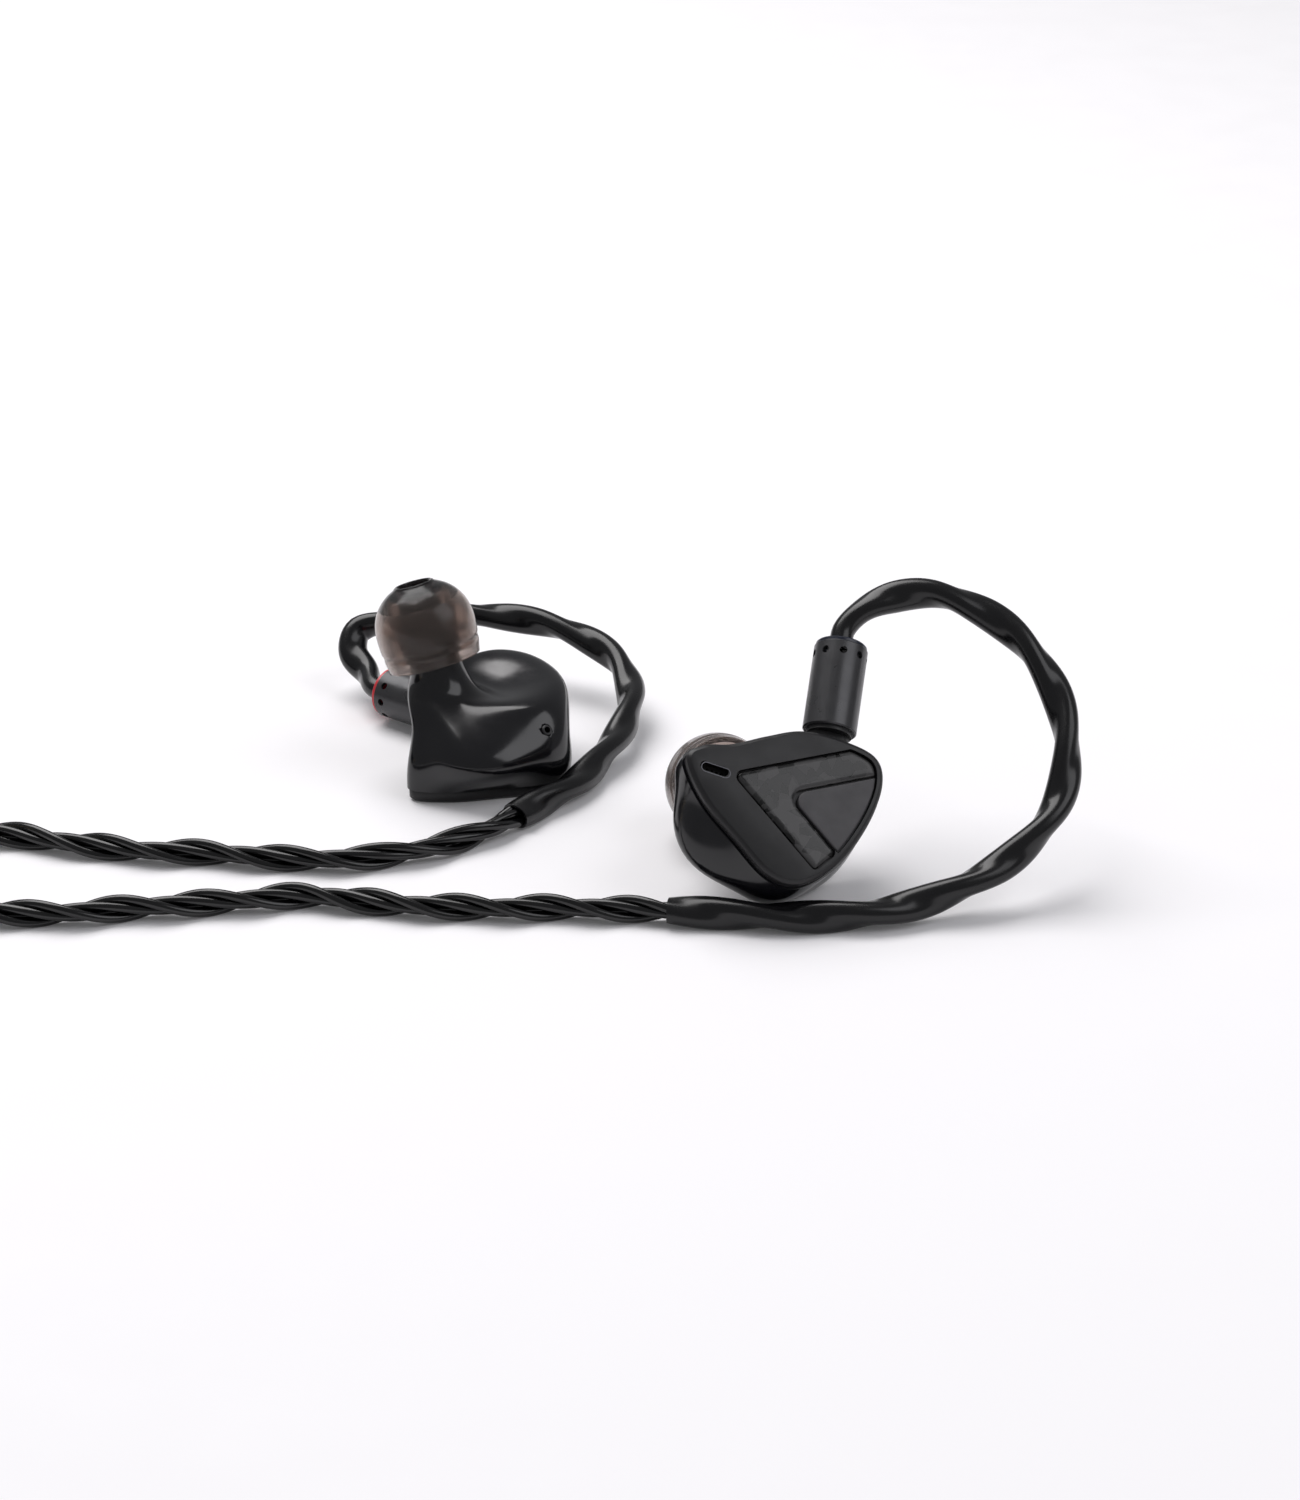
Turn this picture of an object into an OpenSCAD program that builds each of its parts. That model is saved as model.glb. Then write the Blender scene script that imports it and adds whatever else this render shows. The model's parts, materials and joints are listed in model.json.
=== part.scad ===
// In-ear monitors: a left and a right earpiece on one detachable cable with a
// 3.5 mm plug. The right earpiece stands on its faceplate, the left one leans
// back on its shell and its ear tip, and the cable lies on the table.
// Sizes are millimetres, +Z is up, and the table is z = 0.

/* [Faceplate] */
// Width of the faceplate
face_w = 23.1; // [21:0.1:25]
// Height of the faceplate, towards the socket
face_h = 18.2; // [17:0.1:20]
// Thickness of the faceplate
plate_t = 1.6; // [1.4:0.1:2]
// Chamfer round the faceplate's outer edge
plate_chamfer = 0.4; // [0.2:0.05:0.6]
// Land between the faceplate's edge and the inlay
rim_w = 1; // [0.8:0.1:1.4]
// Depth of the recess that holds the inlay and the panel
recess_d = 0.8; // [0.6:0.1:1]
// Groove round the inlay and the panel
groove_w = 0.2; // [0.16:0.02:0.3]
// Width of each arm of the inlay
arm_w = 3.35; // [2.8:0.05:3.8]
// Length of the inlay's lower arm
arm_l = 14.3; // [12:0.1:15]
// Depth of the inlay's crown below the faceplate's face
inlay_sink = 0.05; // [0.02:0.01:0.2]
// Depth of the panel's face below the faceplate's face
panel_sink = 0.15; // [0.05:0.05:0.3]
// Length of the vent slot
vent_l = 3.4; // [2.4:0.1:4]
// Width of the vent slot
vent_w = 1.1; // [0.8:0.1:1.4]

/* [Shell] */
// Wall of the resin shell
shell_wall = 0.9; // [0.7:0.1:1.1]
// How far the shell stands out past the faceplate's edge
shell_lip = 0.25; // [0.1:0.05:0.4]
// Height of the hump that fills the bowl of the ear
hump_h = 12.3; // [11.7:0.1:13]
// How far the belly stands out past the waist of the faceplate
belly_w = 4.8; // [4:0.1:5.2]
// Height of the shell's shoulder away from the hump
shoulder_h = 8.7; // [8.1:0.1:9.5]
// Diameter of the neck at the foot of the nozzle
neck_d = 6.2; // [5.8:0.1:7]
// Distance of the neck's end from the faceplate's face, along the nozzle
neck_s = 16.2; // [15:0.1:17]
// Diameter of the pressure vent in the shell
port_d = 0.8; // [0.6:0.1:1]

/* [Nozzle and ear tip] */
// Lean of the nozzle towards the socket's side, in degrees
nozzle_lean = 19; // [15:0.5:22]
// Outer diameter of the nozzle
nozzle_d = 5.2; // [4.8:0.1:5.6]
// Bore of the nozzle
nozzle_bore = 3.8; // [3.7:0.1:3.9]
// Length of the nozzle past the neck
nozzle_l = 7.2; // [6:0.1:8]
// Height of the lip that holds the ear tip on
lip_h = 0.2; // [0.1:0.05:0.3]
// Largest diameter of the ear tip
tip_d = 12.3; // [11:0.1:13.5]
// Length of the ear tip
tip_l = 9.8; // [9:0.1:11]
// Thickness of the ear tip's skirt
skirt_t = 0.6; // [0.4:0.05:0.9]
// Radial clearance of the ear tip on the nozzle's lip
tip_fit = 0.05; // [0.02:0.01:0.08]

/* [Connector] */
// Outer diameter of the connector barrel
barrel_d = 6.3; // [5.8:0.1:7]
// Length of the connector barrel
barrel_l = 10.5; // [9:0.1:12]
// Wall of the connector barrel
barrel_wall = 0.5; // [0.4:0.05:0.7]
// Diameter of the holes round the barrel's end
barrel_hole_d = 0.9; // [0.6:0.1:1.1]
// Gap between the socket's face and the barrel
barrel_gap = 1.4; // [1:0.1:2]
// Height of the connector's axis above the faceplate's face
conn_z = 3.7; // [3.6:0.05:4.2]
// How far the channel ring stands out of the barrel
ring_proud = 0.45; // [0.3:0.05:0.7]
// Diameter of a connector pin
pin_d = 0.78; // [0.7:0.01:0.8]
// Distance between the two pins
pin_pitch = 1.9; // [1.8:0.05:2.1]
// Length of the pins past the connector's insert
pin_l = 4.6; // [4:0.1:5]
// Radial clearance of a pin in its contact
pin_fit = 0.04; // [0.02:0.01:0.06]

/* [Drivers] */
// Diameter of the dynamic driver's can
can_d = 8.4; // [7.6:0.1:8.6]
// Height of the dynamic driver's can
can_h = 3.2; // [3:0.1:3.4]
// Sheet of the dynamic driver's can
can_t = 0.3; // [0.25:0.05:0.35]
// Width of the voice coil's gap in the magnet
coil_gap = 0.7; // [0.6:0.05:0.8]
// Width of a balanced armature driver
armature_w = 2.7; // [2.4:0.1:2.9]
// Length of a balanced armature driver
armature_l = 5.2; // [4.5:0.1:5.6]
// Outer diameter of a sound tube
sound_tube_d = 1.6; // [1.3:0.1:1.7]

/* [Cable] */
// Diameter round the two twisted wire pairs of an ear cord
cord_d = 3.2; // [3:0.1:3.3]
// Diameter of the main lead, round all its twisted wires
lead_d = 3.6; // [3.4:0.1:3.8]
// Diameter of the shrink sleeve that forms the ear hook
hook_d = 3.4; // [3.3:0.1:3.5]
// Middle radius of the coiled main lead
coil_r = 18; // [18:0.5:20]
// Turns that lie side by side in the coil
coil_across = 4; // [4:1:4]
// Layers of turns in the coil
coil_layers = 2; // [2:1:2]
// Width of the cable tie
tie_w = 6; // [4:0.5:8]
// Thickness of the cable tie
tie_t = 0.7; // [0.5:0.1:0.8]
// Length of the chin slider
slider_l = 6; // [5:0.5:7]
// Wall round the cords in the chin slider and the splitter
bead_wall = 0.9; // [0.7:0.1:1]
// Radial clearance of a cord in the chin slider
slider_fit = 0.1; // [0.05:0.01:0.1]
// Length of the Y-splitter's body
splitter_l = 12; // [10:0.5:14]

/* [Plug] */
// Diameter of the jack's contacts
jack_d = 3.5; // [3.5:0.1:3.5]
// Length of the jack from the handle to its point
jack_l = 14; // [14:0.5:14]
// Diameter of the plug's handle
handle_d = 7.2; // [6.8:0.1:8]
// Length of the plug's handle
handle_l = 20; // [17:0.5:24]
// Length of the plug's strain relief
relief_l = 9; // [7:0.5:12]

/* [Hidden] */
$fn = 48;
eps = 0.02;          // overlap that joins two shapes of one piece
seat = 0.02;         // clearance between two pieces of one body that fit together
sides = 8;           // sides of a cord's tube

// Where each earpiece lies. Its own frame has the faceplate's outer face at
// z = 0, the shell above it, and the socket towards +y.
right_at = [-24.1, 5.4, 0];
right_turn = 52;
left_at = [10.4, -30.3, 13.45];
left_tilt = [46.5, 17, 5];

// ---- helpers ----
function unit(v) = v / norm(v);
function mix(a, b, t) = a + (b - a) * t;
function clamp(x, low, high) = min(max(x, low), high);

// One point of a smooth closed curve through points p, after point i by share t.
function loop_point(p, i, t) =
    let (n = len(p), a = p[(i + n - 1) % n], b = p[i], c = p[(i + 1) % n], d = p[(i + 2) % n])
    0.5 * (2 * b + (c - a) * t + (2 * a - 5 * b + 4 * c - d) * t * t
        + (3 * b - a - 3 * c + d) * t * t * t);
function smooth_loop(p, steps) =
    [for (i = [0 : len(p) - 1]) for (k = [0 : steps - 1]) loop_point(p, i, k / steps)];

// Outline q moved outwards by distance g (inwards where g is negative).
function grown(q, g) =
    let (n = len(q))
    [for (i = [0 : n - 1])
        let (t = unit(q[(i + 1) % n] - q[(i + n - 1) % n])) q[i] + g * [t.y, -t.x]];

// Corners [x, y, radius] turned into an outline with round corners.
function round_corners(c, steps = 6) =
    let (n = len(c))
    [for (i = [0 : n - 1])
        let (p = [c[i].x, c[i].y],
             u = unit([c[(i + n - 1) % n].x, c[(i + n - 1) % n].y] - p),
             v = unit([c[(i + 1) % n].x, c[(i + 1) % n].y] - p),
             half = acos(clamp(u * v, -1, 1)) / 2,
             back = c[i].z / tan(half),
             mid = p + unit(u + v) * c[i].z / sin(half),
             from = p + u * back - mid, to = p + v * back - mid,
             turn = acos(clamp(from * to / (c[i].z * c[i].z), -1, 1)))
        for (k = [0 : steps])
            mid + (from * sin(turn * (1 - k / steps)) + to * sin(turn * k / steps)) / sin(turn)];

// A skin over rings of equal point counts, which run anticlockwise seen from the end.
// It is closed by a cap at each end or, where looped, from the last ring back to the first.
module skin(rings, looped = false) {
    m = len(rings[0]);
    n = len(rings);
    polyhedron(
        points = [for (r = rings) each r],
        faces = concat(
            [for (i = [0 : looped ? n - 1 : n - 2]) for (j = [0 : m - 1])
                let (k = (j + 1) % m, a = i * m, b = (i + 1) % n * m)
                each [[a + j, b + j, a + k], [a + k, b + j, b + k]]],
            looped ? [] : [[for (j = [0 : m - 1]) j], [for (j = [m - 1 : -1 : 0]) (n - 1) * m + j]]));
}

// A point on an open cubic spline with control points c, at share t of its length.
function spline_point(c, t) =
    let (n = len(c) - 3, s = min(floor(t * n), n - 1), u = t * n - s)
    (c[s] * pow(1 - u, 3) + c[s + 1] * (3 * u * u * u - 6 * u * u + 4)
        + c[s + 2] * (-3 * u * u * u + 3 * u * u + 3 * u + 1) + c[s + 3] * u * u * u) / 6;
// Control points with one more past each end, so that the spline starts and ends on them.
function open_ends(c) =
    let (n = len(c)) concat([2 * c[0] - c[1]], c, [2 * c[n - 1] - c[n - 2]]);

// Point p of an earpiece's own frame, where the earpiece lies.
function turn_x(p, a) = [p.x, p.y * cos(a) - p.z * sin(a), p.y * sin(a) + p.z * cos(a)];
function turn_y(p, a) = [p.x * cos(a) + p.z * sin(a), p.y, p.z * cos(a) - p.x * sin(a)];
function turn_z(p, a) = [p.x * cos(a) - p.y * sin(a), p.x * sin(a) + p.y * cos(a), p.z];
function placed_right(p) = right_at + turn_z(p, right_turn);
function placed_left(p) =
    left_at + turn_z(turn_y(turn_x([p.x, p.y, -p.z], left_tilt.x), left_tilt.y), left_tilt.z);

// A round tube of diameter d along points a to b of a route.
function route_way(p, i) = unit(p[min(i + 1, len(p) - 1)] - p[max(i - 1, 0)]);
function tube_ring(p, i, d) =
    let (way = route_way(p, i), side = unit(cross([0, 0, 1], way)), up = cross(way, side))
    [for (k = [0 : sides - 1]) p[i] + (side * cos(k * 360 / sides) + up * sin(k * 360 / sides)) * d / 2];
module tube(p, a, b, d) { skin([for (i = [a : b]) tube_ring(p, i, d)]); }

module on_right() { translate(right_at) rotate(right_turn) children(); }
module on_left() { translate(left_at) rotate(left_tilt) mirror([0, 0, 1]) children(); }

// ---- faceplate ----
// The outline's points as shares of half the width and half the height.
face_shape = [[-1, 0.27], [-0.86, 0.49], [-0.57, 0.6], [-0.24, 0.81], [0.11, 0.99],
    [0.52, 1], [0.89, 0.88], [1, 0.54], [0.91, 0], [0.66, -0.62], [0.32, -0.99],
    [-0.01, -0.97], [-0.38, -0.62], [-0.77, -0.2]];
face_line = smooth_loop([for (p = [for (i = [len(face_shape) - 1 : -1 : 0]) face_shape[i]])
    [p.x * face_w / 2, p.y * face_h / 2]], 4);
arm_up = 24.5;       // angle of the inlay's upper arm
arm_down = -39;      // angle of the inlay's lower arm
arm_round = 0.7;     // radius of the inlay's outer corners
fork_round = 1.3;    // radius of the corner between its arms
cut_round = 0.5;     // radius of the corners that the rim cuts off
inlay_tip = [-6.1, 1.9];
vent_at = [-8.3, 1.9];
vent_turn = -5;
vent_step = 0.4;     // ledge round the vent slot that the screen sits on

function along(a) = [cos(a), sin(a)];
function arms(g) =
    let (up = along(arm_up), down = along(arm_down), w = arm_w + 2 * g,
         bisect = (arm_up + arm_down) / 2, spread = (arm_up - arm_down) / 2,
         tip = inlay_tip - along(bisect) * g / sin(spread),
         inner = tip + along(bisect) * w / sin(spread),
         end = tip + down * (arm_l + g / tan(spread) + g), over = face_w)
    round_corners([
        [tip.x, tip.y, arm_round + g],
        [end.x, end.y, cut_round + g],
        [end.x - down.y * w, end.y + down.x * w, arm_round + g],
        [inner.x, inner.y, fork_round - g],
        [inner.x + up.x * over, inner.y + up.y * over, cut_round],
        [tip.x + up.x * over, tip.y + up.y * over, cut_round]]);
function wedge(g) =
    let (bisect = (arm_up + arm_down) / 2, spread = (arm_up - arm_down) / 2,
         tip = inlay_tip + along(bisect) * (arm_w + 1.5 * groove_w - g) / sin(spread), over = face_w)
    round_corners([
        [tip.x, tip.y, fork_round],
        [tip.x + over * cos(arm_down), tip.y + over * sin(arm_down), cut_round],
        [tip.x + over * cos(arm_up), tip.y + over * sin(arm_up), cut_round]]);

module inside_rim(shape, rim, h) {
    intersection() {
        linear_extrude(h) polygon(shape);
        translate([0, 0, -eps]) linear_extrude(h + 2 * eps) polygon(grown(face_line, -rim));
    }
}
module vent_slot(grow, h) {
    translate([vent_at.x, vent_at.y, 0]) rotate(vent_turn) {
        for (x = [-1, 1]) translate([x * (vent_l - vent_w) / 2, 0, 0])
            cylinder(d = vent_w + 2 * grow, h = h, $fn = 24);
        translate([-(vent_l - vent_w) / 2, -vent_w / 2 - grow, 0])
            cube([vent_l - vent_w, vent_w + 2 * grow, h]);
    }
}
module faceplate() {
    color([0.05, 0.05, 0.055]) difference() {
        skin([for (level = [[0, -plate_chamfer], [plate_chamfer, 0], [plate_t, 0]])
            [for (p = grown(face_line, level[1])) [p.x, p.y, level[0]]]]);
        translate([0, 0, -1]) inside_rim(arms(groove_w), rim_w - groove_w, recess_d + 1);
        translate([0, 0, -1]) inside_rim(wedge(groove_w), rim_w - groove_w, recess_d + 1);
        translate([0, 0, -1]) vent_slot(0, plate_t + 2);
        translate([0, 0, plate_t - vent_step]) vent_slot(vent_step, plate_t);
    }
}
module inlay() {
    color([0.13, 0.12, 0.12]) translate([0, 0, inlay_sink])
        inside_rim(arms(0), rim_w, recess_d - inlay_sink);
}
module panel() {
    color([0.2, 0.2, 0.21]) translate([0, 0, panel_sink])
        inside_rim(wedge(0), rim_w, recess_d - panel_sink);
}
module vent_screen() {
    color([0.35, 0.35, 0.36]) difference() {
        translate([0, 0, plate_t - vent_step]) vent_slot(vent_step - seat, vent_step - seat);
        translate([vent_at.x, vent_at.y, 0]) rotate(vent_turn) for (i = [-2 : 2])
            translate([i * vent_l / 6, 0, 0]) cylinder(d = vent_w / 3, h = plate_t, $fn = 16);
    }
}

// ---- shell ----
lean = [0, sin(nozzle_lean), cos(nozzle_lean)];   // the way the nozzle points
foot = [-0.139 * face_w, 0.044 * face_h];         // where the nozzle's axis meets the face
hump_dir = -3;                                    // the hump's direction from the foot
hump_focus = 2;                                   // how closely the hump keeps to its direction
belly_dir = 243;                                  // the belly's direction from the foot
belly_focus = 2.3;
rows = 10;                                        // rows of the skin's inner side
// The skin's control levels, each for the plain side and for the hump: how high it is, as
// shares of the shoulder's and the hump's height, and how far it reaches, as shares of the
// outline's distance. The last level is the saddle at the foot of the neck.
wall_level = 0.25;
shoulder_level = 0.72;
shoulder_reach = [0.92, 0.98];
bulge_level = [1, 0.82];
bulge_reach = [0.72, 1.13];
crown_level = [1.256, 1.03];
crown_reach = [0.82, 1.01];
crown_r = 6;                                      // the plain side's crown, before it narrows
saddle_level = [1.395, 0.73];
saddle_out = [1.1, 2];
neck_flare = 2.2;                                 // height of the neck's straight end
shell_line = grown(face_line, shell_lip);

function axis_xy(z) = foot + [lean.x, lean.y] * z / lean.z;
function hump_share(a) = pow((1 + cos(a - hump_dir)) / 2, hump_focus);
// One point of the shell's skin: at height z, a share q of the way to the nozzle's
// axis, and r from there in direction a.
function at_level(a, z, q, r) =
    let (c = mix(foot, axis_xy(z), q)) [c.x + r * cos(a), c.y + r * sin(a), z];
// A pair's value for hump share k, and the height of a level.
function of_pair(pair, k) = mix(pair[0], pair[1], k);
function level_z(level, k) = mix(shoulder_h * level[0], hump_h * level[1], k);
// The rib of the shell that starts at outline point p, for a skin that lies w inside.
function rib(p, w) =
    let (a = atan2(p.y - foot.y, p.x - foot.x),
         d = norm(p - foot) - w,
         k = hump_share(a),
         belly = belly_w * pow(max(0, cos(a - belly_dir)), belly_focus),
         r = neck_d / 2 - w,
         across = [1, 0, 0],
         ahead = [0, lean.z, -lean.y],
         crown = mix(d, crown_r, 0.6 * (1 - k)))
    open_ends([
        at_level(a, plate_t, 0, d),
        at_level(a, plate_t + shoulder_h * wall_level, 0, d + 0.6 * belly),
        at_level(a, shoulder_h * shoulder_level - w, 0.1, d * of_pair(shoulder_reach, k) + belly),
        at_level(a, level_z(bulge_level, k) - w, mix(0.5, 0.1, k),
            d * of_pair(bulge_reach, k) + 0.8 * belly),
        at_level(a, level_z(crown_level, k) - w, mix(0.8, 0.1, k), crown * of_pair(crown_reach, k)),
        at_level(a, level_z(saddle_level, k) - w, 1, r + of_pair(saddle_out, k)),
        at_level(a, neck_s * lean.z - neck_flare - w, 1, r + 0.4),
        [foot.x, foot.y, 0] + lean * neck_s + r * (across * cos(a) + ahead * sin(a))]);
function shell_rings(w, n) =
    [for (i = [0 : n]) [for (p = shell_line) spline_point(rib(p, w), i / n)]];
// A point of the shell's outer skin on rib i, at share t of the way up, and the way it faces.
function skin_point(i, t) = spline_point(rib(shell_line[i], 0), t);
function skin_facing(i, t) =
    unit(cross(skin_point(i + 1, t) - skin_point(i - 1, t),
        skin_point(i, t + 0.02) - skin_point(i, t - 0.02)));

module nozzle_frame() { translate([foot.x, foot.y, 0]) rotate([-nozzle_lean, 0, 0]) children(); }
module shell() {
    outer = shell_rings(0, rows * 2);
    inner = shell_rings(shell_wall, rows);
    color([0.03, 0.03, 0.035]) difference() {
        skin(concat(outer, [for (i = [rows : -1 : 0]) inner[i]]), true);
        at_connector() translate([0, 0, socket_face - socket_l])
            stadium(socket_w, socket_h, socket_l + 1, seat);
        at_port() translate([0, 0, -2 * shell_wall])
            cylinder(r = port_d / 2 + port_t + seat, h = 3 * shell_wall, $fn = 24);
    }
}

// ---- nozzle, its mesh, ear tip ----
nozzle_end = neck_s + nozzle_l;
lip_s = nozzle_end - 1.6;                        // where the lip starts
lip_l = 1;
spigot_r = neck_d / 2 - shell_wall - 0.05;       // the nozzle's foot, in the shell's neck
spigot_l = 1.5;
nozzle_edge = 0.15;
module nozzle() {
    r = nozzle_d / 2;
    color([0.45, 0.45, 0.47]) nozzle_frame() rotate_extrude() polygon([
        [nozzle_bore / 2, neck_s - spigot_l], [spigot_r, neck_s - spigot_l], [spigot_r, neck_s],
        [r, neck_s], [r, lip_s], [r + lip_h, lip_s + 0.3 * lip_l], [r + lip_h, lip_s + 0.6 * lip_l],
        [r, lip_s + lip_l], [r, nozzle_end - nozzle_edge], [r - nozzle_edge, nozzle_end],
        [mesh_d / 2, nozzle_end],
        [mesh_d / 2, nozzle_end - mesh_t], [nozzle_bore / 2, nozzle_end - mesh_t]]);
}
mesh_t = 0.35;
mesh_d = nozzle_bore + 0.6;
mesh_hole_d = 0.5;
mesh_rings = [[0, 1], [0.9, 6], [1.7, 12]];      // each ring of holes: its radius and its count
module nozzle_mesh() {
    color([0.5, 0.5, 0.52]) nozzle_frame() translate([0, 0, nozzle_end - mesh_t])
        difference() {
            cylinder(d = mesh_d - 2 * seat, h = mesh_t);
            for (ring = mesh_rings) for (k = [1 : ring[1]])
                rotate(k * 360 / ring[1]) translate([ring[0], 0, -1])
                    cylinder(d = mesh_hole_d, h = 2, $fn = 16);
        }
}
tip_top = nozzle_end + 2.2;        // the ear tip's mouth, along the nozzle
tip_bottom = tip_top - tip_l;
core_d = nozzle_d + 2 * lip_h + 2 * tip_fit;
core_t = 0.6;
core_bottom = neck_s + 0.3;
// The ear tip's radius at share t of the way from the skirt's edge to the mouth: the skirt
// widens to its fold, then to the widest place, and the dome closes above it.
fold_at = 0.2;
widest_at = 0.42;
skirt_r = 0.92;
fold_r = 0.985;
dome_span = 0.62;                  // share of the length over which the dome would close
dome_fullness = 2.3;
function dome_r(t) =
    tip_d / 2 * pow(1 - pow(clamp((t - widest_at) / dome_span, 0, 1), dome_fullness), 0.5)
    * (t < fold_at ? mix(skirt_r, fold_r, t / fold_at)
        : mix(fold_r, 1, clamp((t - fold_at) / (widest_at - fold_at), 0, 1)));
module ear_tip() {
    steps = 20;
    mouth_r = nozzle_bore / 2 + 0.15;
    outer = [for (i = [0 : steps]) let (t = i / steps)
        [max(dome_r(t), mouth_r + 0.5), tip_bottom + t * tip_l]];
    inner = [for (i = [0 : steps - 6]) let (t = i / steps)
        [max(dome_r(t) - skirt_t, core_d / 2 + core_t + 0.1), tip_bottom + t * (tip_l - 1.3)]];
    color([0.35, 0.31, 0.29, 0.8]) nozzle_frame() rotate_extrude() polygon(concat(
        outer,
        [[mouth_r + 0.25, tip_top + 0.15], [mouth_r, tip_top], [mouth_r, nozzle_end + 0.3],
         [core_d / 2, nozzle_end + 0.3], [core_d / 2, core_bottom], [core_d / 2 + core_t, core_bottom]],
        [for (i = [len(inner) - 1 : -1 : 0]) inner[i]]));
}

// ---- socket and connector ----
module at_connector() { translate([conn_x, 0, conn_z]) rotate([-90, 0, 0]) children(); }
conn_x = 0.23 * face_w;   // the connector's axis, across the faceplate
socket_proud = 0.25;      // how far the socket stands out of the shell
socket_face = face_h / 2 + shell_lip + socket_proud;
socket_l = 4.6;
socket_w = pin_pitch + 3.1;
socket_h = 2.6;
contact_d = pin_d + 2 * pin_fit + 0.44;
insert_face = socket_face + 0.05;
nose_l = 0.9;
barrel_0 = socket_face + barrel_gap;
barrel_1 = barrel_0 + barrel_l;
barrel_bore = barrel_d - 2 * barrel_wall;
hole_back = 1.3;     // from the barrel's end to the middle of its holes
insert_1 = barrel_1 - 2.4;
pin_in = 4.8;        // how far the pins go into the insert
ring_edge = 0.15;
ring_in = 0.6;       // how far the channel ring goes into the barrel
module both_pins() { for (x = [-1, 1]) translate([x * pin_pitch / 2, 0, 0]) children(); }
module stadium(w, h, l, grow = 0) {
    for (x = [-1, 1]) translate([x * (w - h) / 2, 0, 0]) cylinder(d = h + 2 * grow, h = l, $fn = 32);
    translate([-(w - h) / 2, -h / 2 - grow, 0]) cube([w - h, h + 2 * grow, l]);
}
module socket() {
    color([0.12, 0.12, 0.12]) at_connector() difference() {
        translate([0, 0, socket_face - socket_l]) stadium(socket_w, socket_h, socket_l);
        both_pins() translate([0, 0, socket_face - socket_l - 1])
            cylinder(d = contact_d + 2 * seat, h = socket_l + 2, $fn = 24);
    }
}
module socket_contacts() {
    color([0.85, 0.68, 0.3]) at_connector() both_pins()
        translate([0, 0, socket_face - socket_l - 0.9]) difference() {
            cylinder(d = contact_d, h = socket_l + 0.8, $fn = 24);
            translate([0, 0, 0.5]) cylinder(d = pin_d + 2 * pin_fit, h = socket_l + 1, $fn = 24);
        }
}
module barrel() {
    edge = 0.15;
    color([0.09, 0.09, 0.095]) at_connector() difference() {
        rotate_extrude() polygon([
            [barrel_bore / 2, barrel_0], [barrel_d / 2 - edge, barrel_0], [barrel_d / 2, barrel_0 + edge],
            [barrel_d / 2, barrel_1 - edge], [barrel_d / 2 - edge, barrel_1], [barrel_bore / 2, barrel_1]]);
        for (k = [0 : 8]) rotate([0, 0, 20 + k * 40]) translate([0, 0, barrel_1 - hole_back])
            rotate([0, 90, 0]) translate([0, 0, barrel_bore / 2 - 0.4])
                cylinder(d = barrel_hole_d, h = barrel_wall + 1, $fn = 20);
    }
}
module connector_insert() {
    color([0.07, 0.07, 0.07]) at_connector() difference() {
        union() {
            translate([0, 0, insert_face]) stadium(socket_w - 0.2, socket_h, nose_l + eps);
            translate([0, 0, insert_face + nose_l])
                cylinder(d = barrel_bore - 2 * seat, h = insert_1 - insert_face - nose_l);
        }
        both_pins() translate([0, 0, insert_face - 1])
            cylinder(d = pin_d + 2 * seat, h = 1 + pin_in + 10 * seat, $fn = 24);
    }
}
module pins() {
    color([0.85, 0.68, 0.3]) at_connector() both_pins() translate([0, 0, insert_face - pin_l]) {
        cylinder(d1 = pin_d * 0.5, d2 = pin_d, h = pin_d * 0.4, $fn = 24);
        translate([0, 0, pin_d * 0.4]) cylinder(d = pin_d, h = pin_l + pin_in - pin_d * 0.4, $fn = 24);
    }
}
module channel_ring(tint) {
    color(tint) at_connector() rotate_extrude() polygon([
        [hook_d / 2 + seat, barrel_1 - ring_in], [barrel_bore / 2 - seat, barrel_1 - ring_in],
        [barrel_bore / 2 - seat, barrel_1], [barrel_d / 2 - ring_edge, barrel_1],
        [barrel_d / 2 - ring_edge, barrel_1 + ring_proud - ring_edge],
        [barrel_d / 2 - 2 * ring_edge, barrel_1 + ring_proud],
        [hook_d / 2 + seat, barrel_1 + ring_proud]]);
}

// ---- what the shell holds ----
board_t = 0.6;
board_at = [0.15 * face_w, 0.1];
board_size = [7, 8.4];
can_at = [0.17 * face_w, -1];
can_z = plate_t + board_t;
cover_t = 0.3;
magnet_h = 1.5;
gap_r = 2;           // middle radius of the magnet's gap
coil_t = 0.2;        // wall of the voice coil
cone_z = 2.45;       // the diaphragm's height above the can's foot
cone_t = 0.15;
dome_h = 0.25;       // height of the diaphragm's dome
voice_l = 1.25;      // length of the voice coil
armature_t = 2.8;
armature_s = 2.6;    // the armatures' foot, along the nozzle
module circuit_board() {
    color([0.1, 0.3, 0.16]) translate([board_at.x, board_at.y, plate_t]) linear_extrude(board_t)
        polygon(round_corners([for (c = [[-1, -1], [1, -1], [1, 1], [-1, 1]])
            [c.x * board_size.x / 2, c.y * board_size.y / 2, 0.8]], 4));
}
module at_can() { translate([can_at.x, can_at.y, can_z]) children(); }
module driver_can() {
    color([0.7, 0.7, 0.72]) at_can() difference() {
        cylinder(d = can_d, h = can_h);
        translate([0, 0, can_t]) cylinder(d = can_d - 2 * can_t, h = can_h);
    }
}
module driver_magnet() {
    color([0.45, 0.45, 0.47]) at_can() translate([0, 0, can_t]) difference() {
        cylinder(d = can_d - 2 * can_t - 2 * seat, h = magnet_h);
        translate([0, 0, 0.4]) difference() {
            cylinder(r = gap_r + coil_gap / 2, h = magnet_h);
            cylinder(r = gap_r - coil_gap / 2, h = magnet_h);
        }
    }
}
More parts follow.
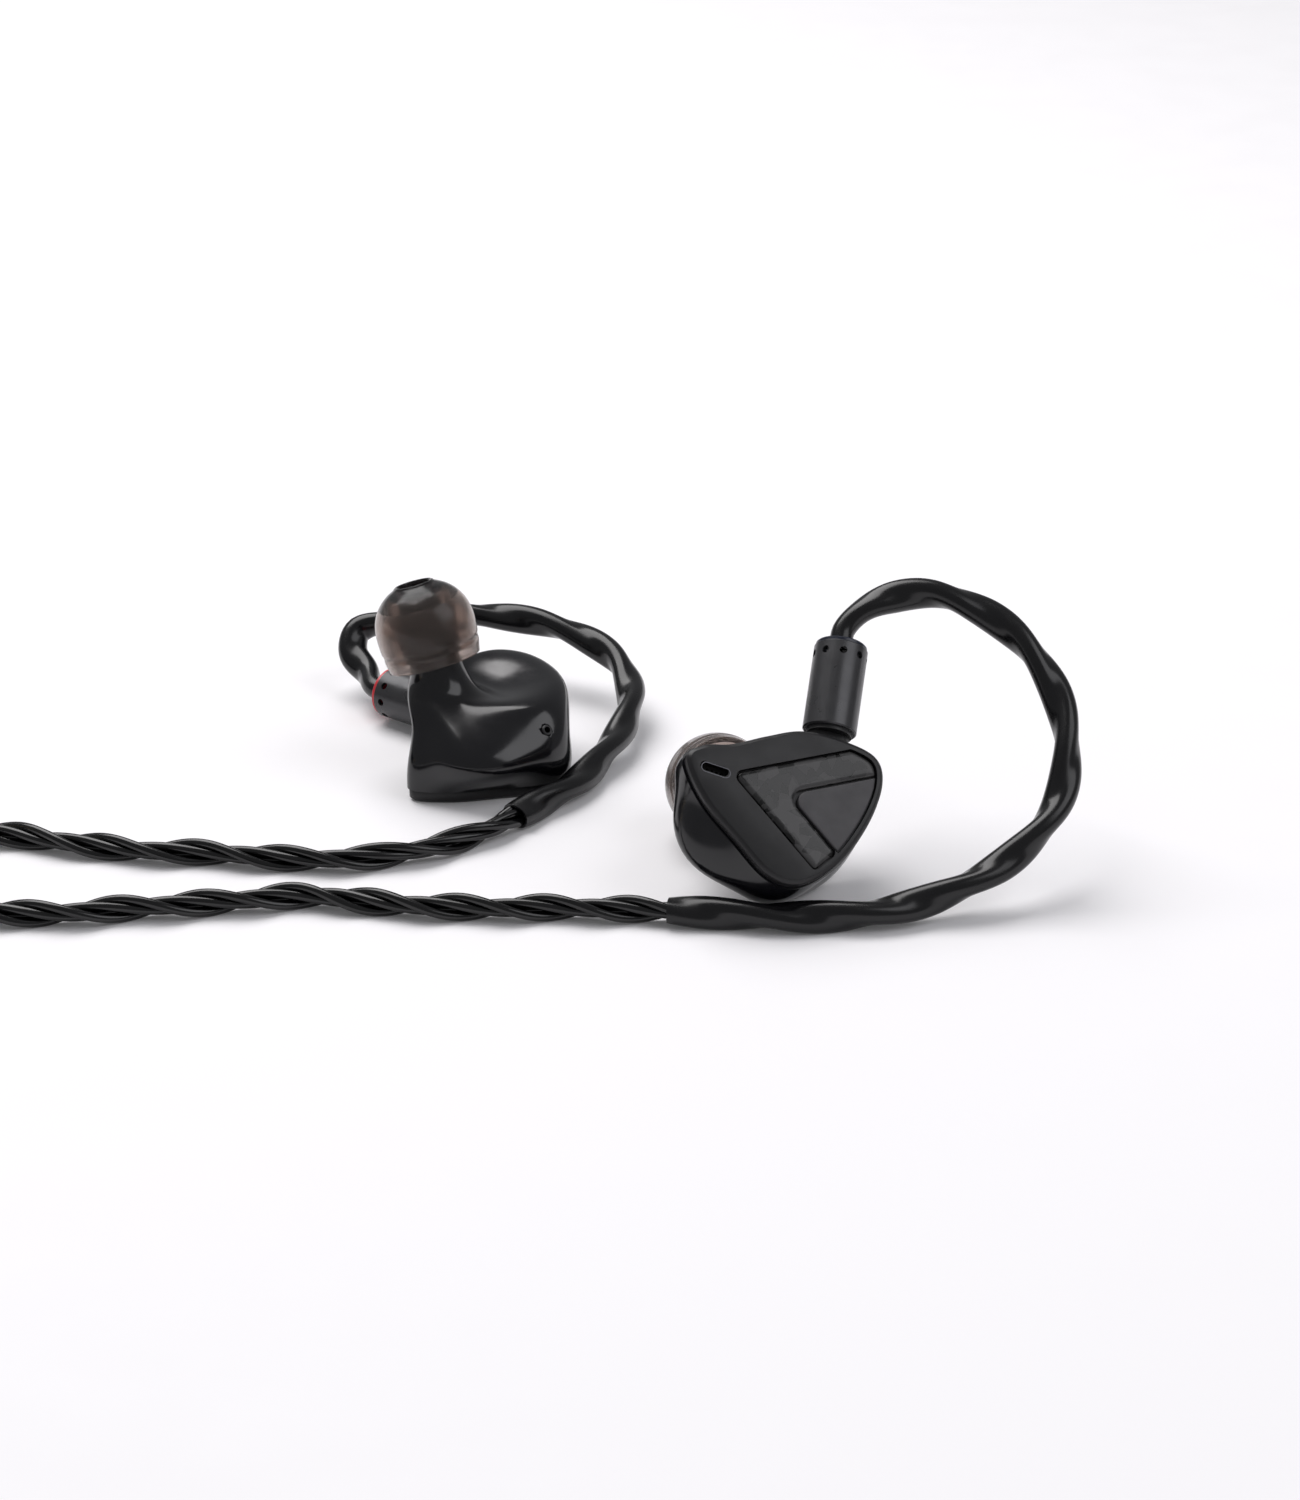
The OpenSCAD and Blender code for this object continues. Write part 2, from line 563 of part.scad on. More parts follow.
module diaphragm() {
    edge_r = can_d / 2 - can_t - 0.35;
    color([0.75, 0.72, 0.62]) at_can() rotate_extrude() polygon([
        [0, cone_z + dome_h], [gap_r * 0.6, cone_z + dome_h * 0.6], [gap_r - coil_t / 2, cone_z],
        [gap_r - coil_t / 2, cone_z - voice_l], [gap_r + coil_t / 2, cone_z - voice_l],
        [gap_r + coil_t / 2, cone_z], [edge_r, cone_z], [edge_r, cone_z + cone_t],
        [gap_r + coil_t / 2, cone_z + cone_t], [gap_r * 0.6, cone_z + dome_h * 0.6 + cone_t],
        [0, cone_z + dome_h + cone_t]]);
}
module driver_cover() {
    color([0.62, 0.62, 0.64]) at_can() translate([0, 0, can_h]) difference() {
        cylinder(d = can_d, h = cover_t);
        translate([0, 0, -1]) cylinder(d = 1.2, h = 3, $fn = 24);
        for (k = [0 : 5]) rotate(k * 60) translate([can_d * 0.27, 0, -1]) cylinder(d = 1.2, h = 3, $fn = 24);
    }
}
module armatures() {
    color([0.8, 0.8, 0.82]) nozzle_frame() for (x = [-1, 1])
        translate([x * (armature_w + 0.1) / 2 - armature_w / 2, -armature_t / 2, armature_s])
            cube([armature_w, armature_t, armature_l]);
}
module sound_tubes() {
    top = nozzle_end - mesh_t - 0.4;
    color([0.75, 0.75, 0.78, 0.6]) nozzle_frame() for (x = [-1, 1])
        translate([x * (sound_tube_d / 2 + 0.05), 0, armature_s + armature_l]) difference() {
            cylinder(d = sound_tube_d, h = top - armature_s - armature_l, $fn = 24);
            translate([0, 0, -1]) cylinder(d = sound_tube_d - 0.6, h = top, $fn = 24);
        }
}
port_rib = 8;        // the rib and the share of it that carry the pressure vent
port_share = 0.4;
port_t = 0.25;
module at_port() {
    n = skin_facing(port_rib, port_share);
    translate(skin_point(port_rib, port_share)) rotate([0, acos(n.z), atan2(n.y, n.x)]) children();
}
module port_eyelet() {
    color([0.3, 0.3, 0.31]) at_port() rotate_extrude($fn = 24) polygon([
        [port_d / 2, -shell_wall], [port_d / 2 + port_t, -shell_wall], [port_d / 2 + port_t, 0.1],
        [port_d / 2 + port_t / 2, 0.2], [port_d / 2, 0.2]]);
}

// ---- ear hooks and ear cords ----
// Each route runs from the connector over the hook to the sleeve's end, and on to the splitter.
pair_y = 33;           // middle of the two cords where they run side by side
pair_z = 2.6;
pair_gap = 4.2;
function hook_start(y) = [conn_x, barrel_1 + y, conn_z];
left_route = concat([placed_left(hook_start(-ring_in)), placed_left(hook_start(2.5))], [
    [21.5, -8.5, 28.5], [28, -7.5, 29.5], [34, -9, 28], [39, -12, 25], [42.5, -16, 20.5],
    [43.5, -21, 15.5], [42, -25.5, 10.5], [36.5, -30, 6], [27.5, -33.7, 2.8], [18.5, -35.8, 1.8],
    [8, -35.9, 1.8], [-2.5, -34.4, 1.7], [-14, -33.5, 1.6], [-24, -33.5, 1.6], [-34, -32.5, 1.6],
    [-43.5, -30.5, 1.6], [-53, -32, 1.6], [-63, -33.5, 1.6], [-73, -35, 1.6], [-83, -34, 1.6],
    [-94, -32, 1.6], [-106, -30.5, 1.6], [-120, -30.5, 1.6], [-134, -31.5, 1.6], [-149, -32, 1.6],
    [-165, -32.5, 1.6], [-180, -32, 1.6], [-190, -29, 1.6], [-198, -22.5, 1.6], [-202, -13, 1.6],
    [-203, -2, 1.6], [-203, 8, 1.6], [-202, 18, 1.6], [-198, 27, 1.8], [-191, 33, 2.3],
    [-184, 35.1, 2.6], [-176, 35.1, 2.6], [-156, 35.1, 2.6]]);
left_joint = 7;      // the route's points where the connector's part ends and where the sleeve ends
left_sleeve = 13;
right_route = concat([placed_right(hook_start(-ring_in)), placed_right(hook_start(2.5))], [
    [-41, 28.5, 4], [-43, 31.5, 5.5], [-42.5, 34, 7.5], [-38.5, 35, 8.5], [-32, 35.5, 9],
    [-25, 35.5, 9], [-18, 34, 8.5], [-12.5, 31, 7.5], [-8.5, 27, 6], [-7, 21.5, 4.6],
    [-7.5, 14.5, 3.5], [-10, 7, 2.5], [-13.5, -0.5, 1.9], [-20.5, -9.5, 1.7], [-24.5, -14, 1.6],
    [-30.5, -18, 1.6], [-37, -20.5, 1.6], [-45, -21, 1.6], [-55, -19.5, 1.6], [-65.5, -18.5, 1.6],
    [-75, -16, 1.6], [-83, -14, 1.6], [-91, -15.5, 1.6], [-100, -19.5, 1.6], [-112, -21.5, 1.6],
    [-126, -22, 1.6], [-140, -22.5, 1.6], [-154, -24.5, 1.6], [-168, -27, 1.6], [-180, -27.5, 1.6],
    [-189, -24.5, 1.6], [-195, -18.5, 1.6], [-198, -9.5, 1.6], [-198.5, 0, 1.6], [-198.5, 9, 1.6],
    [-197, 18, 1.7], [-192.5, 25.5, 2.1], [-185.5, 30, 2.5], [-178, 30.9, 2.6], [-170, 30.9, 2.6],
    [-156, 30.9, 2.6]]);
right_joint = 9;
right_sleeve = 15;
lead_route = [[-151, 33, 2.6], [-138, 33, 2.6], [-124, 33, 2.5]];
tail_route = [[-124, -13.8, 6.1], [-131.5, -11.8, 7.6], [-137.5, -6.6, 9.1], [-141, 0, 9.7],
    [-142.2, 7, 9.7], [-141, 14, 9.7], [-137.5, 19.8, 9.7], [-131.5, 23.8, 9.8],
    [-124, 24.6, 10.2], [-117.5, 22.4, 10.9], [-113.3, 17.6, 11.4], [-112, 12.2, 11.5],
    [-112, 3.2, 11.5]];
module hook_piece(route, a, b) { color([0.06, 0.06, 0.06]) tube(route, a, b, hook_d); }
module ear_cord(route, a) { color([0.07, 0.07, 0.07]) tube(route, a, len(route) - 1, cord_d); }
module main_lead() {
    color([0.07, 0.07, 0.07]) for (route = [lead_route, tail_route])
        tube(route, 0, len(route) - 1, lead_d);
}

// ---- chin slider, splitter ----
slider_x = -176;     // the slider's end nearer the earpieces
splitter_x = -160;   // the splitter's end nearer the earpieces
cord_in = 4;         // how far the cords go into the splitter
lead_in = 3;         // how far the main lead goes into the splitter's body
nut_d = 5.2;
nut_l = 2;
nut_edge = 0.4;
spigot_d = lead_d + 1;
bead_h = cord_d + 2 * slider_fit + 2 * bead_wall;
bead_w = bead_h + pair_gap;
module at_pair(x) { translate([x, pair_y, pair_z]) rotate([90, 0, 90]) children(); }
module pair_bores(fit, from, l) {
    for (x = [-1, 1]) translate([x * pair_gap / 2, 0, from]) cylinder(d = cord_d + 2 * fit, h = l);
}
module chin_slider() {
    color([0.06, 0.06, 0.065]) at_pair(slider_x) difference() {
        stadium(bead_w, bead_h, slider_l);
        pair_bores(slider_fit, -1, slider_l + 2);
    }
}
module splitter() {
    color([0.06, 0.06, 0.065]) at_pair(splitter_x) difference() {
        stadium(bead_w, bead_h, splitter_l);
        pair_bores(seat, -1, cord_in + 1);
        translate([0, 0, splitter_l - lead_in]) cylinder(d = spigot_d + 2 * seat, h = lead_in + 1);
    }
}
module splitter_nut() {
    color([0.35, 0.35, 0.36]) at_pair(splitter_x) translate([0, 0, splitter_l])
        rotate_extrude() polygon([
            [lead_d / 2 + seat, -lead_in], [spigot_d / 2, -lead_in], [spigot_d / 2, 0],
            [nut_d / 2, 0], [nut_d / 2, nut_l - nut_edge], [nut_d / 2 - nut_edge, nut_l],
            [lead_d / 2 + seat, nut_l]]);
}

// ---- coil and its tie ----
coil_at = [-124, 9.6];
coil_w = coil_across * lead_d;
coil_h = coil_layers * lead_d;
tie_way = 32;        // the tie's direction from the coil's middle
function coil_section(g) = round_corners([for (c = [[-1, -1], [1, -1], [1, 1], [-1, 1]])
    [coil_r + c.x * (coil_w / 2 + g), tie_t + coil_h / 2 + c.y * (coil_h / 2 + g), lead_d / 2 + g]], 5);
module main_coil() {
    color([0.07, 0.07, 0.07]) translate([coil_at.x, coil_at.y, 0])
        rotate_extrude($fn = 72) polygon(coil_section(0));
}
module cable_tie() {
    turn = tie_w / coil_r * 180 / PI;
    color([0.1, 0.1, 0.1]) translate([coil_at.x, coil_at.y, 0]) rotate(tie_way - turn / 2)
        rotate_extrude(angle = turn, $fn = 144) difference() {
            polygon(coil_section(tie_t));
            polygon(coil_section(seat));
        }
}

// ---- plug ----
plug_at = [-112, 3.2];         // where the strain relief meets the handle, which lies on the coil
collar_d = 5.2;
collar_l = 0.8;
sleeve_l = 7.2;                // the jack's sleeve, counted from the collar
band_l = 0.6;                  // an insulating band between two contacts
ring_l = 2.1;
tip_base_l = 0.3;               // the straight foot of the tip contact
neck_r = 1.15;                 // the tip's waist
core_r = 0.6;                  // the tip's rod, which runs back through ring and sleeve
core_l = 4;                    // how far the rod goes into the handle
contact_t = 0.35;              // wall of the sleeve contact, and step to the ring contact
relief_t = 0.6;                // wall of the strain relief at its thin end
relief_step = 0.8;             // step from the strain relief up to the handle
handle_edge = 0.4;
handle_round = 0.8;
module at_plug() {
    translate([plug_at.x, plug_at.y, tie_t + coil_h + handle_d / 2 + seat]) rotate([90, 0, 0])
        children();
}
module plug_relief() {
    grooves = 4;
    pitch = (relief_l - 2) / grooves;
    bore_r = lead_d / 2 + seat;
    color([0.07, 0.07, 0.07]) at_plug() translate([0, 0, -relief_l]) difference() {
        rotate_extrude() polygon([[bore_r, 0], [bore_r + relief_t, 0],
            [handle_d / 2 - relief_step, relief_l], [bore_r, relief_l]]);
        for (k = [0 : grooves - 1]) translate([0, 0, 1 + k * pitch]) rotate_extrude()
            translate([bore_r + 0.7 * relief_t + k * relief_t / 3, 0]) square([2, pitch * 0.4]);
    }
}
module plug_handle() {
    r = handle_d / 2;
    top = handle_l - collar_l;
    corner = [for (k = [0 : 6]) handle_round * [cos(15 * k), sin(15 * k)]];
    color([0.08, 0.08, 0.085]) at_plug() rotate_extrude() polygon(concat(
        [[0, 0], [r - handle_edge, 0], [r, handle_edge]],
        [for (p = corner) [r - handle_round + p.x, top - handle_round + p.y]],
        [[collar_d / 2, top], [collar_d / 2, handle_l], [core_r + seat, handle_l],
         [core_r + seat, handle_l - core_l], [0, handle_l - core_l]]));
}
function jack_part(r_in, from, l) =
    [[r_in, from], [jack_d / 2, from], [jack_d / 2, from + l], [r_in, from + l]];
ring_at = sleeve_l + band_l;
tip_at = ring_at + ring_l + band_l;
sleeve_in = jack_d / 2 - contact_t;
ring_in_r = sleeve_in - 0.3;
module plug_contacts() {
    point_l = jack_l - tip_at;
    color([0.86, 0.72, 0.4]) at_plug() translate([0, 0, handle_l]) {
        rotate_extrude() polygon(jack_part(sleeve_in, 0, sleeve_l));
        rotate_extrude() polygon(jack_part(ring_in_r, ring_at, ring_l));
        rotate_extrude() polygon([
            [0, -core_l], [core_r, -core_l], [core_r, tip_at], [jack_d / 2, tip_at],
            [jack_d / 2, tip_at + tip_base_l], [neck_r, tip_at + point_l * 0.35],
            [jack_d / 2 - 0.05, tip_at + point_l * 0.6], [jack_d / 2 - contact_t, tip_at + point_l * 0.72],
            [contact_t, jack_l], [0, jack_l]]);
    }
}
module plug_rings() {
    r = jack_d / 2;
    color([0.05, 0.05, 0.05]) at_plug() translate([0, 0, handle_l]) rotate_extrude() polygon([
        [core_r + seat, 0], [sleeve_in - seat, 0], [sleeve_in - seat, sleeve_l],
        [r, sleeve_l], [r, ring_at], [ring_in_r - seat, ring_at],
        [ring_in_r - seat, ring_at + ring_l], [r, ring_at + ring_l],
        [r, tip_at], [core_r + seat, tip_at]]);
}

on_left() shell();  // left_shell
on_left() nozzle();  // left_nozzle
on_left() faceplate();  // left_faceplate
on_left() inlay();  // left_inlay
on_left() panel();  // left_panel
on_left() vent_screen();  // left_vent_screen
on_left() port_eyelet();  // left_port_eyelet
on_left() socket();  // left_socket
on_left() socket_contacts();  // left_socket_contacts
on_left() circuit_board();  // left_circuit_board
on_left() driver_can();  // left_driver_can
on_left() driver_magnet();  // left_driver_magnet
on_left() driver_cover();  // left_driver_cover
on_left() diaphragm();  // left_diaphragm
on_left() armatures();  // left_armatures
on_left() sound_tubes();  // left_sound_tubes
on_left() nozzle_mesh();  // left_nozzle_mesh
on_left() ear_tip();  // left_ear_tip
on_left() barrel();  // left_barrel
on_left() connector_insert();  // left_connector_insert
on_left() pins();  // left_pins
on_left() channel_ring([0.1, 0.2, 0.6]);  // left_channel_ring
hook_piece(left_route, 0, left_joint);  // left_hook_upper
hook_piece(left_route, left_joint, left_sleeve);  // left_hook_sleeve
ear_cord(left_route, left_sleeve);  // left_ear_cord
on_right() shell();  // right_shell
on_right() nozzle();  // right_nozzle
on_right() faceplate();  // right_faceplate
on_right() inlay();  // right_inlay
on_right() panel();  // right_panel
on_right() vent_screen();  // right_vent_screen
on_right() port_eyelet();  // right_port_eyelet
on_right() socket();  // right_socket
on_right() socket_contacts();  // right_socket_contacts
on_right() circuit_board();  // right_circuit_board
on_right() driver_can();  // right_driver_can
on_right() driver_magnet();  // right_driver_magnet
on_right() driver_cover();  // right_driver_cover
on_right() diaphragm();  // right_diaphragm
on_right() armatures();  // right_armatures
on_right() sound_tubes();  // right_sound_tubes
on_right() nozzle_mesh();  // right_nozzle_mesh
on_right() ear_tip();  // right_ear_tip
on_right() barrel();  // right_barrel
on_right() connector_insert();  // right_connector_insert
on_right() pins();  // right_pins
on_right() channel_ring([0.75, 0.05, 0.08]);  // right_channel_ring
hook_piece(right_route, 0, right_joint);  // right_hook_upper
hook_piece(right_route, right_joint, right_sleeve);  // right_hook_sleeve
ear_cord(right_route, right_sleeve);  // right_ear_cord
chin_slider();
splitter();
splitter_nut();
main_lead();
main_coil();
cable_tie();
plug_handle();
plug_relief();
plug_contacts();
plug_rings();
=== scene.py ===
# %% [markdown]
# # A pair of in-ear monitors, dressed over its CAD frame
# The CAD model holds every solid of the set: two moulded earpieces, their connectors, ear
# hooks and cords, and the main lead with its plug. This lesson gives each piece the surface
# that a photographer would see. Soft and twisted pieces are built again in finer meshes, and
# the hard ones keep their CAD shape and get a material. Everything is in metres.

# %% Load the frame
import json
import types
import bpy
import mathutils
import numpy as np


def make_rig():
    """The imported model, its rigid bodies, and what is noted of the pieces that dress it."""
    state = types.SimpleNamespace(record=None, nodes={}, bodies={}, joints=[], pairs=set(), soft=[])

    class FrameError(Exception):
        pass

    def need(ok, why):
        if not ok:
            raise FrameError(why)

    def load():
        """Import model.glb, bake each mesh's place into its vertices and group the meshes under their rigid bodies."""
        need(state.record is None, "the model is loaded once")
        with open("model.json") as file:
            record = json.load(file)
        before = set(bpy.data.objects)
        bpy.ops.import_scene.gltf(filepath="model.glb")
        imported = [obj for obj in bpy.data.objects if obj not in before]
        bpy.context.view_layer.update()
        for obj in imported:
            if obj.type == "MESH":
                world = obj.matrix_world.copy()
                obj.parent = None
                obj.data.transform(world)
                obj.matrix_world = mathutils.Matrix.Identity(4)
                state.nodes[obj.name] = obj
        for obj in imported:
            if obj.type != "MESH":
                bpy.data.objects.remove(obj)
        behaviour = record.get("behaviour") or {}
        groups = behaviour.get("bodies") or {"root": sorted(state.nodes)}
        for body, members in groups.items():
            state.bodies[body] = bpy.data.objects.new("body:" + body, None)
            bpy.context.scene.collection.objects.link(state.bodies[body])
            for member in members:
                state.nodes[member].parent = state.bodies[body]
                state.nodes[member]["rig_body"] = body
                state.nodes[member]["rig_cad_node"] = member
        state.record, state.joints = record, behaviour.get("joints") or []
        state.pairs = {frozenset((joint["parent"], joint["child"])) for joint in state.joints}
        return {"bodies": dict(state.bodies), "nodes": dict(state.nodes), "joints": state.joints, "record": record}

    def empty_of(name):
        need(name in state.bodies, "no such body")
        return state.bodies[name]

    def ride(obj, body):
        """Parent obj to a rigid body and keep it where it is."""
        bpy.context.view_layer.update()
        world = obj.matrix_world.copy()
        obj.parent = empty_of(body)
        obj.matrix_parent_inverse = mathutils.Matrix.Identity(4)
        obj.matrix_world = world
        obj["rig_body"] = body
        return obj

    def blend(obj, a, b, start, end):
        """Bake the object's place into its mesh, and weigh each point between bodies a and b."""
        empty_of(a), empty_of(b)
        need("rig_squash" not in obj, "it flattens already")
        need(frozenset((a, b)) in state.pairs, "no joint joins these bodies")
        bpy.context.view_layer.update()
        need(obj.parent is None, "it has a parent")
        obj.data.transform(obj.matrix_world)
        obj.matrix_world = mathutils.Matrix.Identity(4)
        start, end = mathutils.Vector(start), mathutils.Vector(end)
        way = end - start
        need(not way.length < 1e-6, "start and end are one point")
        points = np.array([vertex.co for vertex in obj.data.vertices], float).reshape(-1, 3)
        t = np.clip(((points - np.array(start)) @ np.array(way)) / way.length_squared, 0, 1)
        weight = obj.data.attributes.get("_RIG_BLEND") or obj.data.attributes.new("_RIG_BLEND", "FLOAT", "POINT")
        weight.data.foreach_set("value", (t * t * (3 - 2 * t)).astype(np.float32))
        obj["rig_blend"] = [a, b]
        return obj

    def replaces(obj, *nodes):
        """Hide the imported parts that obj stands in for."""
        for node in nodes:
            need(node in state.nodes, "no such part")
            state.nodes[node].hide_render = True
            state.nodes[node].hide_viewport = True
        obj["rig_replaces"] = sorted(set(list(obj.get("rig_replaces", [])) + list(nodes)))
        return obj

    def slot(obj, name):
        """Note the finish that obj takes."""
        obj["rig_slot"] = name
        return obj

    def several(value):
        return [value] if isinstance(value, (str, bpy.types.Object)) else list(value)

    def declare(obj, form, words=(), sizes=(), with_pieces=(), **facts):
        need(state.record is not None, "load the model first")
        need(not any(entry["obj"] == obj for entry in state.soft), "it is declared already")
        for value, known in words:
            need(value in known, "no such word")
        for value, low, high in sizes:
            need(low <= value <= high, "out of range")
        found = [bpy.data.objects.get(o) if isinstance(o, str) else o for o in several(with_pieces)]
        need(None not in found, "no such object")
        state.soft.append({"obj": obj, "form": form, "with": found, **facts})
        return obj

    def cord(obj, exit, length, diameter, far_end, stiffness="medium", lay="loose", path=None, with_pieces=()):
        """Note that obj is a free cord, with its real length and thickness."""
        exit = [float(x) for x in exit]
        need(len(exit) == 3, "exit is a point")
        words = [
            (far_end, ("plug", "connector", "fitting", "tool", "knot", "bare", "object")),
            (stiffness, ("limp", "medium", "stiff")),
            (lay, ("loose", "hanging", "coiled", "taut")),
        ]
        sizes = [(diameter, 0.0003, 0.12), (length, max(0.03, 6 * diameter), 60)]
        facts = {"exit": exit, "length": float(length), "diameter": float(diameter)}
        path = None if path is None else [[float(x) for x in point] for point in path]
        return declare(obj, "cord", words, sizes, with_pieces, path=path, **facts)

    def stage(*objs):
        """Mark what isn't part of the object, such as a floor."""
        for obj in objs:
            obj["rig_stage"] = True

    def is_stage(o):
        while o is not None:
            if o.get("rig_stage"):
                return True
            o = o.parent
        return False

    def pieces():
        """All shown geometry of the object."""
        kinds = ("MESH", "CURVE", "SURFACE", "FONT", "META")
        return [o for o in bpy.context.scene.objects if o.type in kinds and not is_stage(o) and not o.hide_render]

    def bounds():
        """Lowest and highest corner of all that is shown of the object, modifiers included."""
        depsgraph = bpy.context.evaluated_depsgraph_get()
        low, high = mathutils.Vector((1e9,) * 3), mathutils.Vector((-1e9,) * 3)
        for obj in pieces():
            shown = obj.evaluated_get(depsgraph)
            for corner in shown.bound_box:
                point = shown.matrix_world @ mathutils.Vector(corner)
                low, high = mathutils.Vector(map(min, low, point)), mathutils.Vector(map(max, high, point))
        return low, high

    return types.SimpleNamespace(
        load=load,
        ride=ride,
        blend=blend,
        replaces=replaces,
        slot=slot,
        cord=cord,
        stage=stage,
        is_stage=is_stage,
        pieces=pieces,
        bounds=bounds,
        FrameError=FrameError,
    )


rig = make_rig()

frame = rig.load()

import json
import math

import bpy
import numpy as np
from mathutils import Matrix, Vector
from mathutils.bvhtree import BVHTree
from mathutils.geometry import delaunay_2d_cdt

MM = 0.001
cad_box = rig.bounds()
print("CAD nodes:", len(frame["nodes"]), "bodies:", sorted(frame["bodies"]))

# %% [markdown]
# ## Camera
# The set was photographed with a long lens from a little above the table, so that parallel
# lines hardly converge. A camera can be placed by eye or solved from known sizes. Here it was
# solved once from the connector's and the ear tip's diameters, and these are its named values.

# %% Camera
CAMERA_AT = Vector((-4.5, -391.83, 184.54)) * MM
CAMERA_TILT = math.radians(65.5)
LENS = 85.0
SENSOR = 36.0

camera_data = bpy.data.cameras.new("photo_camera")
camera_data.lens = LENS
camera_data.sensor_width = SENSOR
camera_data.sensor_fit = "AUTO"
camera_data.clip_start = 0.01
camera_data.clip_end = 20.0
camera = bpy.data.objects.new("photo_camera", camera_data)
camera.location = CAMERA_AT
camera.rotation_euler = (CAMERA_TILT, 0.0, 0.0)
bpy.context.scene.collection.objects.link(camera)
bpy.context.scene.camera = camera
bpy.context.view_layer.update()
print("camera looks along", [round(x, 3) for x in camera.matrix_world.to_3x3() @ Vector((0, 0, -1))])

# %% [markdown]
# ## Ways: the lines that the cables follow
# A cable never has a corner. The CAD routes are short lists of points, and the smooth way
# through them is a Catmull-Rom curve: it passes through each point, and its centripetal form
# doesn't swing out where the points are unevenly spaced. It is then cut into even steps, so
# that the twist of the wires doesn't speed up or slow down.

# %% Smooth ways
CURVE_POINTS = 24
CENTRIPETAL = 0.5


def even_steps(line, step):
    """The line again, with points about step apart."""
    run = np.concatenate([[0], np.cumsum(np.linalg.norm(np.diff(line, axis=0), axis=1))])
    count = max(2, int(round(run[-1] / step)) + 1)
    at = np.linspace(0, run[-1], count)
    return np.stack([np.interp(at, run, line[:, i]) for i in range(3)], axis=1)


def smooth_way(points, step):
    """Even points, step apart, along a centripetal Catmull-Rom curve through points."""
    p = np.array(points, float)
    p = np.vstack([2 * p[0] - p[1], p, 2 * p[-1] - p[-2]])
    line = []
    for a, b, c, d in zip(p[:-3], p[1:-2], p[2:-1], p[3:]):
        t1 = np.linalg.norm(b - a) ** CENTRIPETAL
        t2 = t1 + np.linalg.norm(c - b) ** CENTRIPETAL
        t3 = t2 + np.linalg.norm(d - c) ** CENTRIPETAL
        t = np.linspace(t1, t2, CURVE_POINTS, endpoint=False)[:, None]
        ab = (t1 - t) / t1 * a + t / t1 * b
        bc = (t2 - t) / (t2 - t1) * b + (t - t1) / (t2 - t1) * c
        cd = (t3 - t) / (t3 - t2) * c + (t - t2) / (t3 - t2) * d
        abc = (t2 - t) / t2 * ab + t / t2 * bc
        bcd = (t3 - t) / (t3 - t1) * bc + (t - t1) / (t3 - t1) * cd
        line.append((t2 - t) / (t2 - t1) * abc + (t - t1) / (t2 - t1) * bcd)
    return even_steps(np.vstack(line + [p[-2][None]]), step)


def way_frames(way):
    """The tangent, side and up of each point of a way, turning as little as possible."""
    tangent = np.gradient(way, axis=0)
    tangent /= np.linalg.norm(tangent, axis=1)[:, None]
    side = np.cross([0.0, 0.0, 1.0], tangent)
    for i in range(1, len(way)):
        side[i] = side[i - 1] - tangent[i] * (side[i - 1] @ tangent[i])
        side[i] /= np.linalg.norm(side[i])
    side[0] /= np.linalg.norm(side[0])
    return tangent, side, np.cross(tangent, side)


def run_of(way):
    """The distance from the way's start at each of its points."""
    return np.concatenate([[0], np.cumsum(np.linalg.norm(np.diff(way, axis=0), axis=1))])


print("points to a stretch of a curve:", CURVE_POINTS)

# %% [markdown]
# ## Meshes from rings
# A tube, a lathe-turned part and a moulded shell are all skins over a row of rings. One
# helper joins rings of equal point counts into quads and closes the ends, so every piece in
# this lesson is a closed solid with tidy faces.

# %% Skins over rings
SHARP_ANGLE = math.radians(40)


def skin_faces(count, around, looped, start):
    """Quads between rings from point number start on, and end caps unless the row is looped."""
    faces = []
    for i in range(count if looped else count - 1):
        a, b = start + i * around, start + (i + 1) % count * around
        faces += [(a + j, a + (j + 1) % around, b + (j + 1) % around, b + j) for j in range(around)]
    if not looped:
        faces.append(tuple(start + j for j in reversed(range(around))))
        faces.append(tuple(start + (count - 1) * around + j for j in range(around)))
    return faces


def new_piece(name, points, faces, sharp=SHARP_ANGLE):
    """A smooth-shaded mesh object whose edges are sharp where faces meet at more than sharp."""
    mesh = bpy.data.meshes.new(name)
    mesh.from_pydata([tuple(p) for p in points], [], faces)
    mesh.shade_smooth()
    mesh.set_sharp_from_angle(angle=sharp)
    piece = bpy.data.objects.new(name, mesh)
    bpy.context.scene.collection.objects.link(piece)
    return piece


def skinned(name, skins, looped=False, sharp=SHARP_ANGLE):
    """One object from several skins, each an array (rings, points around, 3)."""
    points, faces = [], []
    for rings in skins:
        count, around = rings.shape[:2]
        faces += skin_faces(count, around, looped, len(points))
        points += list(rings.reshape(-1, 3))
    return new_piece(name, points, faces, sharp)


print(f"edges are sharp from {math.degrees(SHARP_ANGLE):.0f} degrees")

# %% [markdown]
# ## Twisted wires
# Each ear cord is two pairs of thin insulated wires, laid up as a right-handed twist: the
# pairs swap places about every 10 mm. A texture could fake this, but the outline of the cord
# is wavy in the photograph, so each wire is a real tube. Its line is the cord's way, pushed
# out sideways by an amount that turns as it runs. The pairs are skewed, so that no light
# shows between them, and the wires are flattened by a hair where they would dip into the
# table.

# %% Wires round a way
WIRE_D = 1.08 * MM
PAIR_SPOTS = [(1.05, 0.3), (0.3, -0.45), (-1.05, -0.3), (-0.3, 0.45)]
FLOOR_GAP = 0.02 * MM
HALF_TWISTS = {"left": 9.8 * MM, "right": 10.7 * MM}


